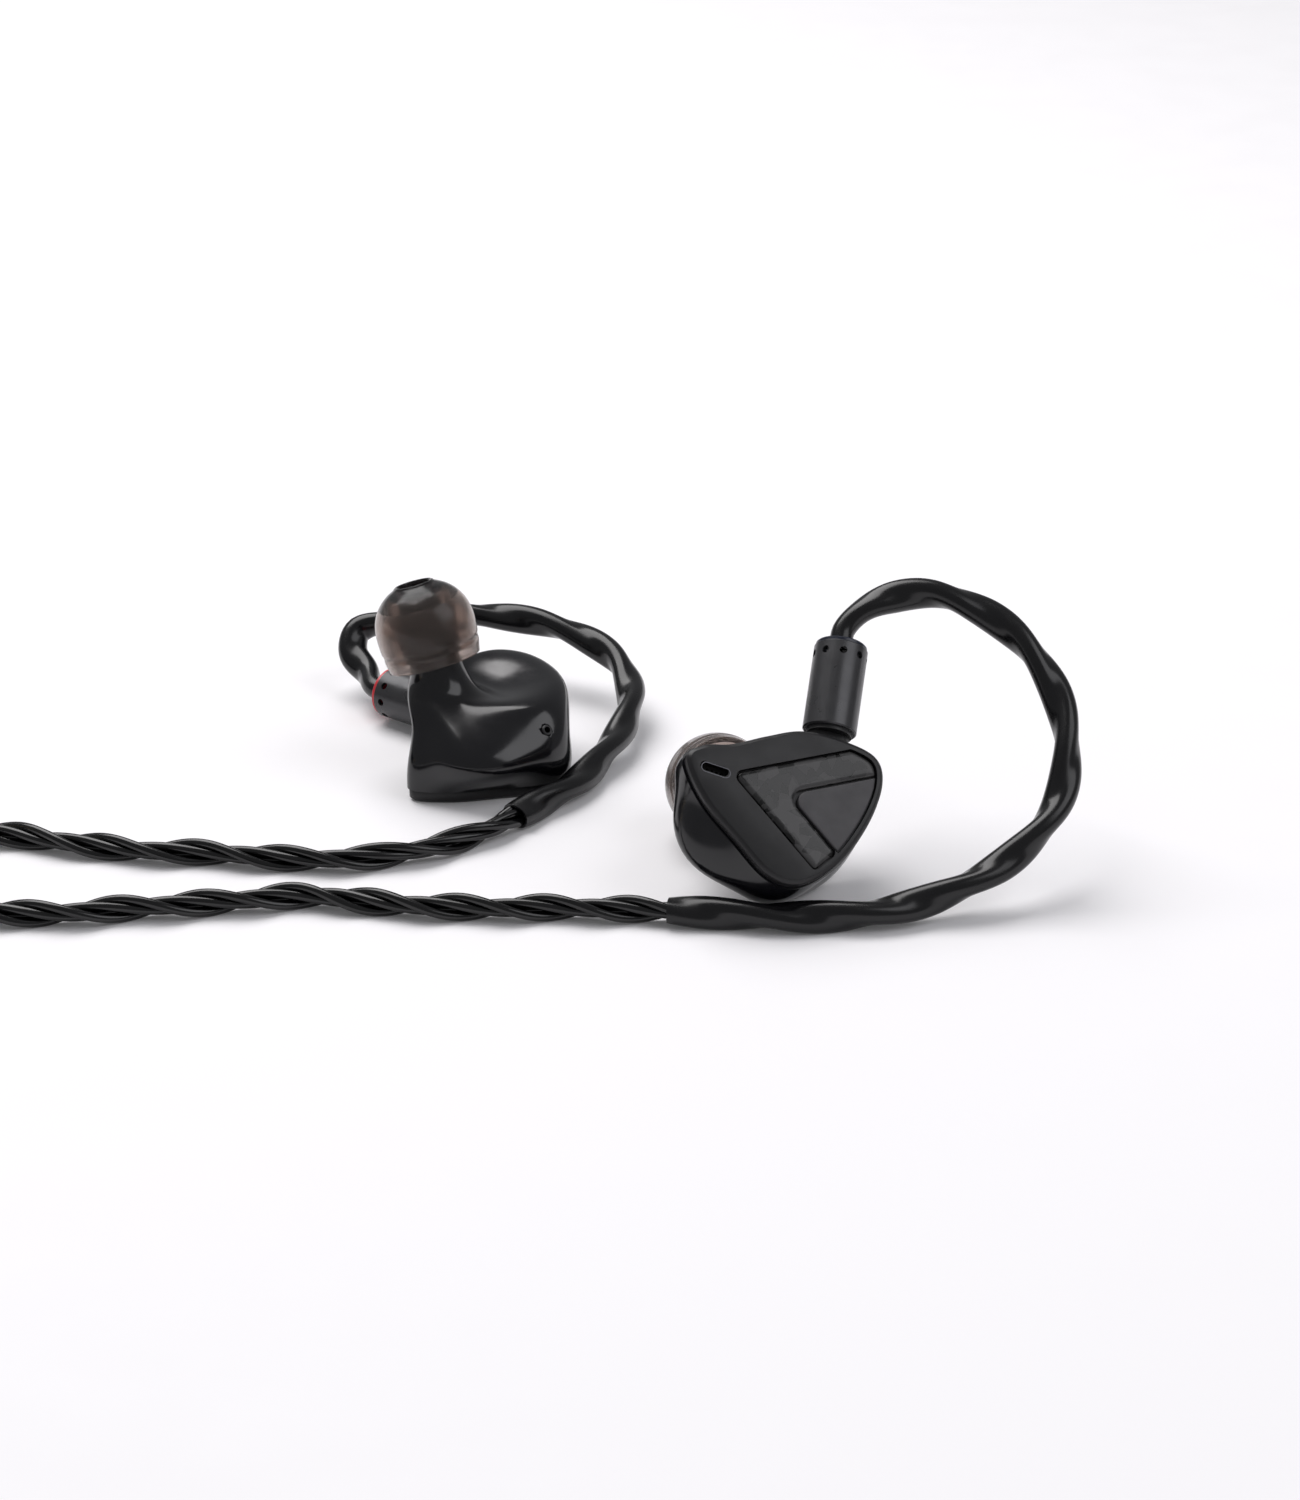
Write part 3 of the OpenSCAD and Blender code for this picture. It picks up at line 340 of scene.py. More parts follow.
def wire_rings(way, spot, turn, tightness, diameter, around):
    """Rings of one wire that runs beside way at spot, turned by turn and drawn in by tightness."""
    _, side, up = way_frames(way)
    x = (spot[0] * np.cos(turn) - spot[1] * np.sin(turn)) * tightness
    y = (spot[0] * np.sin(turn) + spot[1] * np.cos(turn)) * tightness
    line = way + side * x[:, None] + up * y[:, None]
    _, side, up = way_frames(line)
    k = np.arange(around) * 2 * math.pi / around
    ring = side[:, None] * np.cos(k)[None, :, None] + up[:, None] * np.sin(k)[None, :, None]
    rings = line[:, None] + ring * diameter / 2
    rings[..., 2] = np.maximum(rings[..., 2], FLOOR_GAP)
    return rings


def twisted_cord(name, way, spots, half_twist, phase, tightness, diameter, around=12):
    """All the wires of a cord as one piece. Spots are in millimetres, from the cord's middle."""
    turn = phase + run_of(way) * math.pi / half_twist
    return skinned(name, [wire_rings(way, (x * MM, y * MM), turn, tightness, diameter, around)
                          for x, y in spots])


print("wires in an ear cord:", len(PAIR_SPOTS))

# %% [markdown]
# ## Where each earpiece lies
# Each earpiece is easiest to build in its own frame, with the faceplate's face at z = 0, the
# shell above it and the socket towards +y. A matrix then lays it down as the CAD does. The
# left earpiece is the right one mirrored through its faceplate, so its matrix mirrors z, and
# a mirrored mesh needs its faces turned over.

# %% Own frames
def turned(axis, degrees):
    return Matrix.Rotation(math.radians(degrees), 4, axis)


PLACES = {
    "left": Matrix.Translation(Vector((10.4, -30.3, 13.45))) @ turned("Z", 5) @ turned("Y", 17)
    @ turned("X", 46.5) @ Matrix.Diagonal((1, 1, -1, 1)),
    "right": Matrix.Translation(Vector((-24.1, 5.4, 0))) @ turned("Z", 52),
}


def placed(side, points):
    """Points of an earpiece's own frame, in millimetres, where it lies, in metres."""
    place = np.array(PLACES[side])
    return (np.atleast_2d(points) @ place[:3, :3].T + place[:3, 3]) * MM


def place_piece(piece, side):
    """Lay a piece built in its own frame down with its earpiece."""
    mesh = piece.data
    points = np.empty(len(mesh.vertices) * 3)
    mesh.vertices.foreach_get("co", points)
    mesh.vertices.foreach_set("co", placed(side, points.reshape(-1, 3)).ravel())
    if side == "left":
        mesh.flip_normals()
    mesh.update()
    return piece


print("faceplate middles:", [placed(side, (0, 0, 0)).round(4).tolist() for side in PLACES])

# %% [markdown]
# ## The routes
# These are the CAD routes again, in millimetres. Each begins at its connector's barrel, so
# its first two points come from the earpiece's own frame. The next points are the formed
# hook, and the cord itself starts where the hook's sleeve ends.

# %% Routes of the hooks and cords
CONNECTOR_X, CONNECTOR_Z = 5.313, 3.7
HOOK_START = [(CONNECTOR_X, 20.9, CONNECTOR_Z), (CONNECTOR_X, 24.0, CONNECTOR_Z)]
LEFT_ROUTE = [
    (21.5, -8.5, 28.5), (28, -7.5, 29.5), (34, -9, 28), (39, -12, 25), (42.5, -16, 20.5),
    (43.5, -21, 15.5), (42, -25.5, 10.5), (36.5, -30, 6), (27.5, -33.7, 2.8), (18.5, -35.8, 1.8),
    (8, -35.9, 1.8), (-2.5, -34.4, 1.7), (-14, -33.5, 1.6), (-24, -33.5, 1.6), (-34, -32.5, 1.6),
    (-43.5, -30.5, 1.6), (-53, -32, 1.6), (-63, -33.5, 1.6), (-73, -35, 1.6), (-83, -34, 1.6),
    (-94, -32, 1.6), (-106, -30.5, 1.6), (-120, -30.5, 1.6), (-134, -31.5, 1.6), (-149, -32, 1.6),
    (-165, -32.5, 1.6), (-180, -32, 1.6), (-190, -29, 1.6), (-198, -22.5, 1.6), (-202, -13, 1.6),
    (-203, -2, 1.6), (-203, 8, 1.6), (-202, 18, 1.6), (-198, 27, 1.8), (-191, 33, 2.3),
    (-184, 35.1, 2.6), (-176, 35.1, 2.6), (-156, 35.1, 2.6),
]
RIGHT_ROUTE = [
    (-41, 28.5, 4), (-43, 31.5, 5.5), (-42.5, 34, 7.5), (-38.5, 35, 8.5), (-32, 35.5, 9),
    (-25, 35.5, 9), (-18, 34, 8.5), (-12.5, 31, 7.5), (-8.5, 27, 6), (-7, 21.5, 4.6),
    (-7.5, 14.5, 3.5), (-10, 7, 2.5), (-13.5, -0.5, 1.9), (-20.5, -9.5, 1.7), (-24.5, -14, 1.6),
    (-30.5, -18, 1.6), (-37, -20.5, 1.6), (-45, -21, 1.6), (-55, -19.5, 1.6), (-65.5, -18.5, 1.6),
    (-75, -16, 1.6), (-83, -14, 1.6), (-91, -15.5, 1.6), (-100, -19.5, 1.6), (-112, -21.5, 1.6),
    (-126, -22, 1.6), (-140, -22.5, 1.6), (-154, -24.5, 1.6), (-168, -27, 1.6), (-180, -27.5, 1.6),
    (-189, -24.5, 1.6), (-195, -18.5, 1.6), (-198, -9.5, 1.6), (-198.5, 0, 1.6), (-198.5, 9, 1.6),
    (-197, 18, 1.7), (-192.5, 25.5, 2.1), (-185.5, 30, 2.5), (-178, 30.9, 2.6), (-170, 30.9, 2.6),
    (-156, 30.9, 2.6),
]
ROUTES = {
    "left": np.vstack([placed("left", HOOK_START), np.array(LEFT_ROUTE) * MM]),
    "right": np.vstack([placed("right", HOOK_START), np.array(RIGHT_ROUTE) * MM]),
}
SLEEVE_ENDS = {"left": 13, "right": 15}  # which point of the route the sleeve ends at
CORD_STEP = 0.6 * MM
CORD_D = 3.2 * MM
ways = {side: smooth_way(route, CORD_STEP) for side, route in ROUTES.items()}
print({side: f"{len(way)} points, {run_of(way)[-1] * 1000:.0f} mm" for side, way in ways.items()})

# %% [markdown]
# ## Ear cords
# Each ear cord comes out of the hook's shrink sleeve, wanders over the table, passes through
# the chin slider and ends in the splitter. Its wires are drawn in a little where something
# holds them. The start and the phase of the twist follow the photograph's narrow places.

# %% Ear cords
SLEEVE_TUCK = 3.0 * MM
HELD_TIGHT = 0.86
SLEEVE_FADE = 8 * MM
SPLITTER_HOLD, SPLITTER_FADE = 10 * MM, 12 * MM
PATH_STEP = 9 * MM
PHASES = {"left": -0.6, "right": 1.57}


def part_of_way(way, start, end):
    """The points of a way between two distances from its start."""
    run = run_of(way)
    return way[(run >= start) & (run <= end)]


def run_at(way, point):
    """The distance from the way's start to its place nearest point."""
    return run_of(way)[np.argmin(np.linalg.norm(way - np.array(point), axis=1))]


def smoothstep(t):
    """A soft ramp from 0 to 1."""
    t = np.clip(t, 0, 1)
    return t * t * (3 - 2 * t)


def ear_cord(side):
    """The bare part of an ear cord, from inside its sleeve to inside the splitter."""
    way = ways[side]
    sleeve_end = ROUTES[side][SLEEVE_ENDS[side]]
    line = part_of_way(way, run_at(way, sleeve_end) - SLEEVE_TUCK, run_of(way)[-1])
    run = run_of(line)
    loose = smoothstep(run / SLEEVE_FADE) * smoothstep((run[-1] - SPLITTER_HOLD - run) / SPLITTER_FADE)
    tightness = HELD_TIGHT + (1 - HELD_TIGHT) * loose
    wires = twisted_cord(f"{side}_ear_wires", line, PAIR_SPOTS, HALF_TWISTS[side], PHASES[side],
                         tightness, WIRE_D)
    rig.ride(wires, "root")
    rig.replaces(wires, f"{side}_ear_cord")
    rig.slot(wires, "cord_wire")
    path = even_steps(line, PATH_STEP)
    beads = [frame["nodes"][n] for n in ("chin_slider", "splitter", "splitter_nut")]
    length = float(run_of(path)[-1])
    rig.cord(wires, exit=path[0], length=length, diameter=CORD_D, far_end="fitting",
            stiffness="medium", lay="loose", path=path, with_pieces=beads)
    print(f"{side} ear cord: {length * 1000:.0f} mm, path points {len(path)}")
    return wires


ear_wires = {side: ear_cord(side) for side in PLACES}

# %% [markdown]
# ## Main lead
# The photograph shows none of the main lead, so it is put away: a short stretch leaves the
# splitter, seven and a half turns lie in a flat coil of two layers under a strap, and a short
# tail goes back to the plug. The turns go inwards on the lower layer and outwards on the
# upper one, so that each turn lies beside and on the last.

# %% Main lead
LEAD_D = 3.6 * MM
LEAD_WIRES, LEAD_WIRE_OUT, LEAD_AROUND = 7, 1.21, 8
LEAD_STEP, LEAD_PATH_STEP = 1.0 * MM, 5 * MM
LEAD_ROUTE = [(-149, 33, 2.6), (-142, 33, 2.6), (-132, 33, 2.6)]
COIL_AT = (-124, 9.6)
COIL_R = 18
COIL_ACROSS = 4
COIL_POINTS = 24
TURNS = 7.5
LANE_CHANGE = 0.25
LANES = [1.5, 0.5, -0.5, -1.5, -1.5, -0.5, 0.5, 1.5]
LOW_LAYER, HIGH_LAYER = 2.5, 6.1
RISE_IN = 1.5
TAIL_ROUTE = [
    (-131.5, -11.8, 7.6), (-137.5, -6.6, 9.1), (-141, 0, 9.7), (-142.2, 7, 9.7), (-141, 14, 9.7),
    (-137.5, 19.8, 9.7), (-131.5, 23.8, 9.8), (-124, 24.6, 10.2), (-117.5, 22.4, 10.9),
    (-113.3, 17.6, 11.4), (-112, 12.2, 11.5), (-112, 3.2, 11.5),
]
LEAD_SPOTS = [(LEAD_WIRE_OUT * math.cos(k * math.tau / LEAD_WIRES),
               LEAD_WIRE_OUT * math.sin(k * math.tau / LEAD_WIRES)) for k in range(LEAD_WIRES)]
LEAD_HALF_TWIST = 14 * MM


def coil_point(turns):
    """A point of the coil's line after so many turns, in millimetres."""
    lane = min(int(turns), len(LANES) - 1)
    after = min(lane + 1, len(LANES) - 1)
    share = float(smoothstep((turns - lane - (1 - LANE_CHANGE)) / LANE_CHANGE))
    radius = COIL_R + LEAD_D / MM * (LANES[lane] + (LANES[after] - LANES[lane]) * share)
    z = [LOW_LAYER if i < COIL_ACROSS else HIGH_LAYER for i in (lane, after)]
    if z[0] != z[1]:
        radius -= RISE_IN * math.sin(share * math.pi)
    angle = math.pi / 2 - turns * math.tau
    x, y = COIL_AT[0] + radius * math.cos(angle), COIL_AT[1] + radius * math.sin(angle)
    return x, y, z[0] + (z[1] - z[0]) * share


coil_line = [coil_point(k / COIL_POINTS) for k in range(int(TURNS * COIL_POINTS) + 1)]
lead_way = smooth_way(np.array(LEAD_ROUTE + coil_line + TAIL_ROUTE) * MM, LEAD_STEP)
lead_wires = twisted_cord("main_lead_wires", lead_way, LEAD_SPOTS, LEAD_HALF_TWIST, phase=0.0,
                          tightness=1.0, diameter=WIRE_D, around=LEAD_AROUND)
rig.ride(lead_wires, "root")
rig.replaces(lead_wires, "main_lead", "main_coil")
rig.slot(lead_wires, "cord_wire")
lead_path = even_steps(lead_way, LEAD_PATH_STEP)
on_lead = ("plug_handle", "plug_relief", "plug_contacts", "plug_rings", "cable_tie")
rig.cord(lead_wires, exit=lead_path[0], length=float(run_of(lead_path)[-1]), diameter=LEAD_D,
        far_end="plug", stiffness="medium", lay="coiled", path=lead_path,
        with_pieces=[frame["nodes"][n] for n in on_lead])
print(f"main lead: {run_of(lead_path)[-1] * 1000:.0f} mm")

# %% [markdown]
# ## Ear hooks
# The first part of each cord is formed: a shrink sleeve over the twisted pairs, bent by heat
# to go over the ear. The sleeve hugs the pairs, so its section has two lobes that turn as it
# runs, with a valley between them on either side. Near the connector it is thinner and round.
# A curve with a round bevel would lose that, so the skin is built ring by ring. It ends in a
# clean cut with a thin edge. The upper part moves with the connector when that is pulled out,
# and the rest stays, so the piece blends between the two bodies along the bend.

# %% Hook sleeves
HOOK_STEP = 0.5 * MM
HOOK_R = 1.9 * MM
HOOK_VALLEY = 0.52 * MM
VALLEY_SHARPNESS = 2.3
HOOK_THIN = 1.35 * MM
HOOK_ROUND_L, HOOK_FADE = 2 * MM, 9 * MM
HOOK_AROUND, HOOK_SHARP = 40, math.radians(50)
HOOK_HALF_TWIST = 12 * MM
CUT_WALL = 0.28 * MM
CUT_DEPTH = 2.0 * MM
HOOK_PHASES = {"left": 0.6, "right": 0.0}
BENDS = {
    "left": ((42.5, -16, 20.5), (43, -28, 8.5)),
    "right": ((-25, 35.5, 9), (-10, 29, 7)),
}


def hook_rings(way, phase):
    """Rings of the sleeve's outside: two lobes that turn with the pairs inside it."""
    _, side, up = way_frames(way)
    run = run_of(way)
    full = smoothstep((run - HOOK_ROUND_L) / HOOK_FADE)[:, None]
    k = np.arange(HOOK_AROUND)[None, :] * math.tau / HOOK_AROUND
    turn = (phase + run * math.pi / HOOK_HALF_TWIST)[:, None]
    valley = HOOK_VALLEY * full * np.abs(np.sin(k - turn)) ** VALLEY_SHARPNESS
    r = HOOK_THIN + (HOOK_R - HOOK_THIN) * full - valley
    x, y = (r * np.cos(k))[..., None], (r * np.sin(k))[..., None]
    return way[:, None] + side[:, None] * x + up[:, None] * y


def shrunk(ring, middle, amount):
    """A ring drawn in towards its middle by amount."""
    out = ring - middle
    return middle + out * (1 - amount / np.linalg.norm(out, axis=1))[:, None]


print(f"sleeve radius: {HOOK_R / MM:.2f} mm over its lobes, {HOOK_THIN / MM:.2f} mm at the connector")

# %% [markdown]
# ## The two hooks
# A sleeve's rings run to its cut end, where two more turn inwards and give the cut its edge.
# The blend names the stretch of the bend over which the piece stops following the connector.

# %% Hooks
def hook(side):
    """The sleeve from the connector's barrel to its cut end, as one closed skin."""
    way = ways[side]
    end = run_at(way, ROUTES[side][SLEEVE_ENDS[side]])
    line = even_steps(part_of_way(way, 0, end), HOOK_STEP)
    outer = hook_rings(line, HOOK_PHASES[side])
    edge = shrunk(outer[-1], line[-1], CUT_WALL)
    inside = edge + (line[-1 - round(CUT_DEPTH / HOOK_STEP)] - line[-1])
    rings = np.concatenate([outer, edge[None], inside[None]])
    rings[..., 2] = np.maximum(rings[..., 2], FLOOR_GAP)
    piece = skinned(f"{side}_ear_hook", [rings], sharp=HOOK_SHARP)
    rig.replaces(piece, f"{side}_hook_upper", f"{side}_hook_sleeve")
    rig.slot(piece, "shrink_sleeve")
    start, stop = (np.array(p) * MM for p in BENDS[side])
    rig.blend(piece, f"{side}_connector", "root", start=tuple(start), end=tuple(stop))
    print(f"{side} hook: {run_of(line)[-1] * 1000:.0f} mm, {len(piece.data.polygons)} faces")
    return piece


hooks = {side: hook(side) for side in PLACES}

# %% [markdown]
# ## The faceplate's outline
# The outline is the ear's own shape: a point at the front, a wide round back over the socket
# and a narrow chin. Fourteen points hold it, as shares of half the width and height, and the
# same smooth closed curve as in the CAD runs through them, only with finer steps.

# %% Outline
FACE_W, FACE_H = 23.1, 18.2
FACE_STEPS = 20
FACE_SHAPE = [
    (-1, 0.27), (-0.86, 0.49), (-0.57, 0.6), (-0.24, 0.81), (0.11, 0.99), (0.52, 1), (0.89, 0.88),
    (1, 0.54), (0.91, 0), (0.66, -0.62), (0.32, -0.99), (-0.01, -0.97), (-0.38, -0.62), (-0.77, -0.2),
]


def smooth_loop(p, steps):
    """A closed Catmull-Rom curve through points p, steps points to a stretch."""
    a, b, c, d = (np.roll(p, shift, axis=0) for shift in (1, 0, -1, -2))
    t = (np.arange(steps) / steps)[None, :, None]
    a, b, c, d = (q[:, None] for q in (a, b, c, d))
    bend, twist = 2 * a - 5 * b + 4 * c - d, 3 * b - a - 3 * c + d
    return (0.5 * (2 * b + (c - a) * t + bend * t**2 + twist * t**3)).reshape(-1, 2)


def grown(outline, amount):
    """An anticlockwise outline moved outwards by amount."""
    along = np.roll(outline, -1, axis=0) - np.roll(outline, 1, axis=0)
    along /= np.linalg.norm(along, axis=1)[:, None]
    return outline + amount * np.stack([along[:, 1], -along[:, 0]], axis=1)


face_line = smooth_loop(np.array(FACE_SHAPE[::-1]) * [FACE_W / 2, FACE_H / 2], FACE_STEPS)
print("faceplate outline:", len(face_line), "points")

# %% [markdown]
# ## Shells
# The shell is moulded resin, shaped like the bowl of the ear: a hump on the connector's side,
# a lower shoulder and belly on the other, and a neck that carries the nozzle. Sculpting would
# give no sizes to check, so the skin is lofted: from each point of the outline a rib climbs
# to the neck, a B-spline over eight control points whose heights and reaches depend on its
# direction. These are the CAD's own ribs, drawn with more of them. A second, inner skin makes
# the wall, and the two meet at the seam and at the neck's end.

# %% Sizes of the shell
PLATE_T, SHELL_LIP, SHELL_WALL = 1.6, 0.25, 0.9
HUMP_H, SHOULDER_H, BELLY_W = 12.3, 8.7, 4.8
NECK_D, NECK_S, NECK_FLARE, CROWN_R = 6.2, 16.2, 2.2, 6
HUMP_DIR, HUMP_FOCUS, BELLY_DIR, BELLY_FOCUS = -3, 2, 243, 2.3
LOW_LEVEL, LOW_BELLY = 0.25, 0.6
SHOULDER_LEVEL, SHOULDER_LEAN, BULGE_BELLY = 0.72, 0.1, 0.8
CROWN_PULL, NECK_OUT = 0.6, 0.4
# The next pairs hold for the belly's side and for the hump's side.
SHOULDER_REACH = (0.92, 0.98)
BULGE_LEVEL, BULGE_LEAN, BULGE_REACH = (1, 0.82), (0.5, 0.1), (0.72, 1.13)
CROWN_LEVEL, CROWN_LEAN, CROWN_REACH = (1.256, 1.03), (0.8, 0.1), (0.82, 1.01)
SADDLE_LEVEL, SADDLE_OUT = (1.395, 0.73), (1.1, 2)
FOOT = np.array([-0.139 * FACE_W, 0.044 * FACE_H])
LEAN_ANGLE = math.radians(19)
LEAN = np.array([0, math.sin(LEAN_ANGLE), math.cos(LEAN_ANGLE)])
print("nozzle's foot:", FOOT.round(2).tolist(), "lean:", LEAN.round(3).tolist())

# %% [markdown]
# ## From sizes to ribs
# Each rib's control points lie at chosen heights. How far out they reach is blended between
# the belly's side and the hump's side by one number, k, which is 1 straight towards the hump
# and 0 straight away from it. Because every rib follows the same rule, the skin is smooth all
# round, and a changed size changes the whole bowl.

# %% Ribs of the shell
def mix(a, b, t):
    """From a at t = 0 to b at t = 1."""
    return a + (b - a) * t


def rise(shares, k):
    """From a share of the shoulder's height to a share of the hump's."""
    return mix(SHOULDER_H * shares[0], HUMP_H * shares[1], k)


def level(a, z, share, reach):
    """Control points at height z, reach out from a point that is share of the way to the axis."""
    axis = FOOT + np.multiply.outer(z * share / LEAN[2], LEAN[:2])
    return np.stack([axis[:, 0] + reach * np.cos(a), axis[:, 1] + reach * np.sin(a), z], axis=1)


def rib_controls(outline, inset):
    """The control points of each rib, for a skin that lies inset inside the outer one."""
    a = np.arctan2(outline[:, 1] - FOOT[1], outline[:, 0] - FOOT[0])
    d = np.linalg.norm(outline - FOOT, axis=1) - inset
    k = ((1 + np.cos(a - math.radians(HUMP_DIR))) / 2) ** HUMP_FOCUS
    belly = BELLY_W * np.maximum(0, np.cos(a - math.radians(BELLY_DIR))) ** BELLY_FOCUS
    r, flat = NECK_D / 2 - inset, np.zeros(len(a))
    crown = mix(d, CROWN_R, CROWN_PULL * (1 - k))
    end = np.array([*FOOT, 0]) + LEAN * NECK_S + r * (
        np.outer(np.cos(a), [1, 0, 0]) + np.outer(np.sin(a), [0, LEAN[2], -LEAN[1]]))
    points = [
        level(a, flat + PLATE_T, flat, d),
        level(a, flat + PLATE_T + SHOULDER_H * LOW_LEVEL, flat, d + LOW_BELLY * belly),
        level(a, flat + SHOULDER_H * SHOULDER_LEVEL - inset, flat + SHOULDER_LEAN,
              d * mix(*SHOULDER_REACH, k) + belly),
        level(a, rise(BULGE_LEVEL, k) - inset, mix(*BULGE_LEAN, k),
              d * mix(*BULGE_REACH, k) + BULGE_BELLY * belly),
        level(a, rise(CROWN_LEVEL, k) - inset, mix(*CROWN_LEAN, k), crown * mix(*CROWN_REACH, k)),
        level(a, rise(SADDLE_LEVEL, k) - inset, flat + 1, r + mix(*SADDLE_OUT, k)),
        level(a, flat + NECK_S * LEAN[2] - NECK_FLARE - inset, flat + 1, flat + r + NECK_OUT),
        end,
    ]
    return [2 * points[0] - points[1]] + points + [2 * points[-1] - points[-2]]


def skin_point(controls, t):
    """The points at share t of every rib: a cubic B-spline over its control points."""
    stretches = len(controls) - 3
    s = min(int(t * stretches), stretches - 1)
    u = t * stretches - s
    weights = ((1 - u) ** 3, 3 * u**3 - 6 * u**2 + 4, -3 * u**3 + 3 * u**2 + 3 * u + 1, u**3)
    return sum(w * c for w, c in zip(weights, controls[s : s + 4])) / 6


print("control points to a rib:", len(rib_controls(face_line, 0)))

# %% [markdown]
# ## From ribs to skins
# All ribs are read at the same shares of their length, so each share gives one ring. The inner
# skin needs fewer rings, because nobody sees it.

# %% Skins of the shell
def shell_rings(outline, inset, count):
    """The skin that lies inset inside the outer one, as rings from the seam to the neck's end."""
    controls = rib_controls(outline, inset)
    return np.array([skin_point(controls, i / count) for i in range(count + 1)])


OUTER_RINGS, INNER_RINGS = 64, 24
shell_line = grown(face_line[::2], SHELL_LIP)
outer_skin = shell_rings(shell_line, 0, OUTER_RINGS)
inner_skin = shell_rings(shell_line, SHELL_WALL, INNER_RINGS)
print(f"shell: {len(shell_line)} ribs, {outer_skin[..., 2].max():.1f} mm high at the neck")

# %% [markdown]
# ## Pocket and vent in the shell
# Two openings go through the shell: the pocket for the connector's socket and a small
# pressure vent. Holes could be drawn into the ribs, but a boolean with two closed cutters is
# simpler and leaves clean edges. The cutters are a stadium and a round bar.

# %% Cutters
SOCKET_W, SOCKET_H, SOCKET_L, SOCKET_FACE = 5.0, 2.6, 4.6, 9.6
CUT_GAP, CUT_PAST = 0.02, 1
STADIUM_STEPS = 12


def prism(outline, place, low, high):
    """A straight bar with a flat outline, laid by a matrix. Used as a cutter."""
    flat = np.column_stack([outline, np.zeros(len(outline))])
    rings = np.array([flat + [0, 0, low], flat + [0, 0, high]])
    bar = skinned("cutter", [rings])
    bar.data.transform(place)
    return bar


def stadium(length, width):
    """An outline with straight sides and round ends."""
    a = np.linspace(-math.pi / 2, math.pi / 2, STADIUM_STEPS)
    half = np.stack([np.cos(a) * width / 2 + (length - width) / 2, np.sin(a) * width / 2], axis=1)
    return np.vstack([half, -half])


def cut_out(piece, cutters):
    """Cut closed bars out of a closed piece, and delete them."""
    for cutter in cutters:
        cut = piece.modifiers.new("cut", "BOOLEAN")
        cut.operation, cut.solver, cut.object = "DIFFERENCE", "EXACT", cutter
    bpy.context.view_layer.update()
    finished = piece.evaluated_get(bpy.context.evaluated_depsgraph_get())
    mesh = bpy.data.meshes.new_from_object(finished)
    piece.modifiers.clear()
    piece.data = mesh
    for cutter in cutters:
        bpy.data.objects.remove(cutter)
    return piece


print("pocket:", SOCKET_W, "by", SOCKET_H, "by", SOCKET_L, "mm")

# %% [markdown]
# ## Where the openings go
# The pocket lies along the connector's axis. The vent is square to the skin, so its direction
# is measured on it: two steps along the skin, one to the next ribs and one up and down its own
# rib, give two directions, and their cross product faces straight out.

# %% Shells
PORT_SHARE, PORT_NEAR, PORT_R, PORT_AROUND = 0.4, 0.02, 0.67, 32
SHELL_SHARP = math.radians(35)
CONNECTOR = Matrix.Translation((CONNECTOR_X, 0, CONNECTOR_Z)) @ turned("X", -90)
CAD_STEPS, CAD_PORT_RIB = 4, 8
port_rib = CAD_PORT_RIB * len(shell_line) // (len(FACE_SHAPE) * CAD_STEPS)


def port_place():
    """Where the pressure vent's eyelet sits in the shell, square to the skin."""
    controls = rib_controls(shell_line, 0)
    here = skin_point(controls, PORT_SHARE)
    across = here[port_rib + 1] - here[port_rib - 1]
    above, below = (skin_point(controls, share)[port_rib]
                    for share in (PORT_SHARE + PORT_NEAR, PORT_SHARE - PORT_NEAR))
    up = above - below
    facing = Vector(np.cross(across, up)).normalized()
    turn = facing.to_track_quat("Z", "Y").to_matrix().to_4x4()
    return Matrix.Translation(Vector(here[port_rib])) @ turn


def shell(side):
    """The outer and inner skin as one closed wall, with its two openings."""
    rings = np.concatenate([outer_skin, inner_skin[::-1]])
    piece = skinned(f"{side}_resin_shell", [rings], looped=True, sharp=SHELL_SHARP)
    pocket = prism(stadium(SOCKET_W + 2 * CUT_GAP, SOCKET_H + 2 * CUT_GAP), CONNECTOR,
                   SOCKET_FACE - SOCKET_L, SOCKET_FACE + CUT_PAST)
    a = np.arange(PORT_AROUND) * math.tau / PORT_AROUND
    vent = prism(PORT_R * np.stack([np.cos(a), np.sin(a)], axis=1), port_place(),
                 -2 * SHELL_WALL, SHELL_WALL)
    cut_out(piece, [pocket, vent])
    place_piece(piece, side)
    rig.ride(piece, "root")
    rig.replaces(piece, f"{side}_shell")
    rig.slot(piece, "resin_shell")
    lowest = min(v.co.z for v in piece.data.vertices)
    print(f"{piece.name}: {len(piece.data.polygons)} faces, lowest {lowest * 1000:.3f} mm")
    return piece


shells = {side: shell(side) for side in PLACES}

# %% [markdown]
# ## Faceplate
# The faceplate is a machined lid with a chamfered edge. Its face has a V-shaped recess for
# the forged-carbon inlay and a three-cornered one for the panel, both open only to the front,
# and a slot for the vent. The same outline makes its rings, and exact booleans cut the
# recesses. A bevel modifier with hardened normals then breaks each cut edge, because a real
# edge always catches a thin line of light.

# %% Corners and outlines
RIM_W, RECESS_D, GROOVE_W = 1.0, 0.8, 0.2
ARM_W, ARM_L, ARM_UP, ARM_DOWN = 3.35, 14.3, 24.5, -39
ARM_ROUND, FORK_ROUND, CUT_ROUND = 0.7, 1.3, 0.5
CORNER_STEPS = 14
PANEL_GROOVES = 1.5
INLAY_TIP = np.array([-6.1, 1.9])
VENT_AT, VENT_TURN, VENT_L, VENT_W, VENT_STEP = (-8.3, 1.9), -5, 3.4, 1.1, 0.4


def heading(degrees):
    """A direction in the faceplate's face."""
    return np.array([math.cos(math.radians(degrees)), math.sin(math.radians(degrees))])


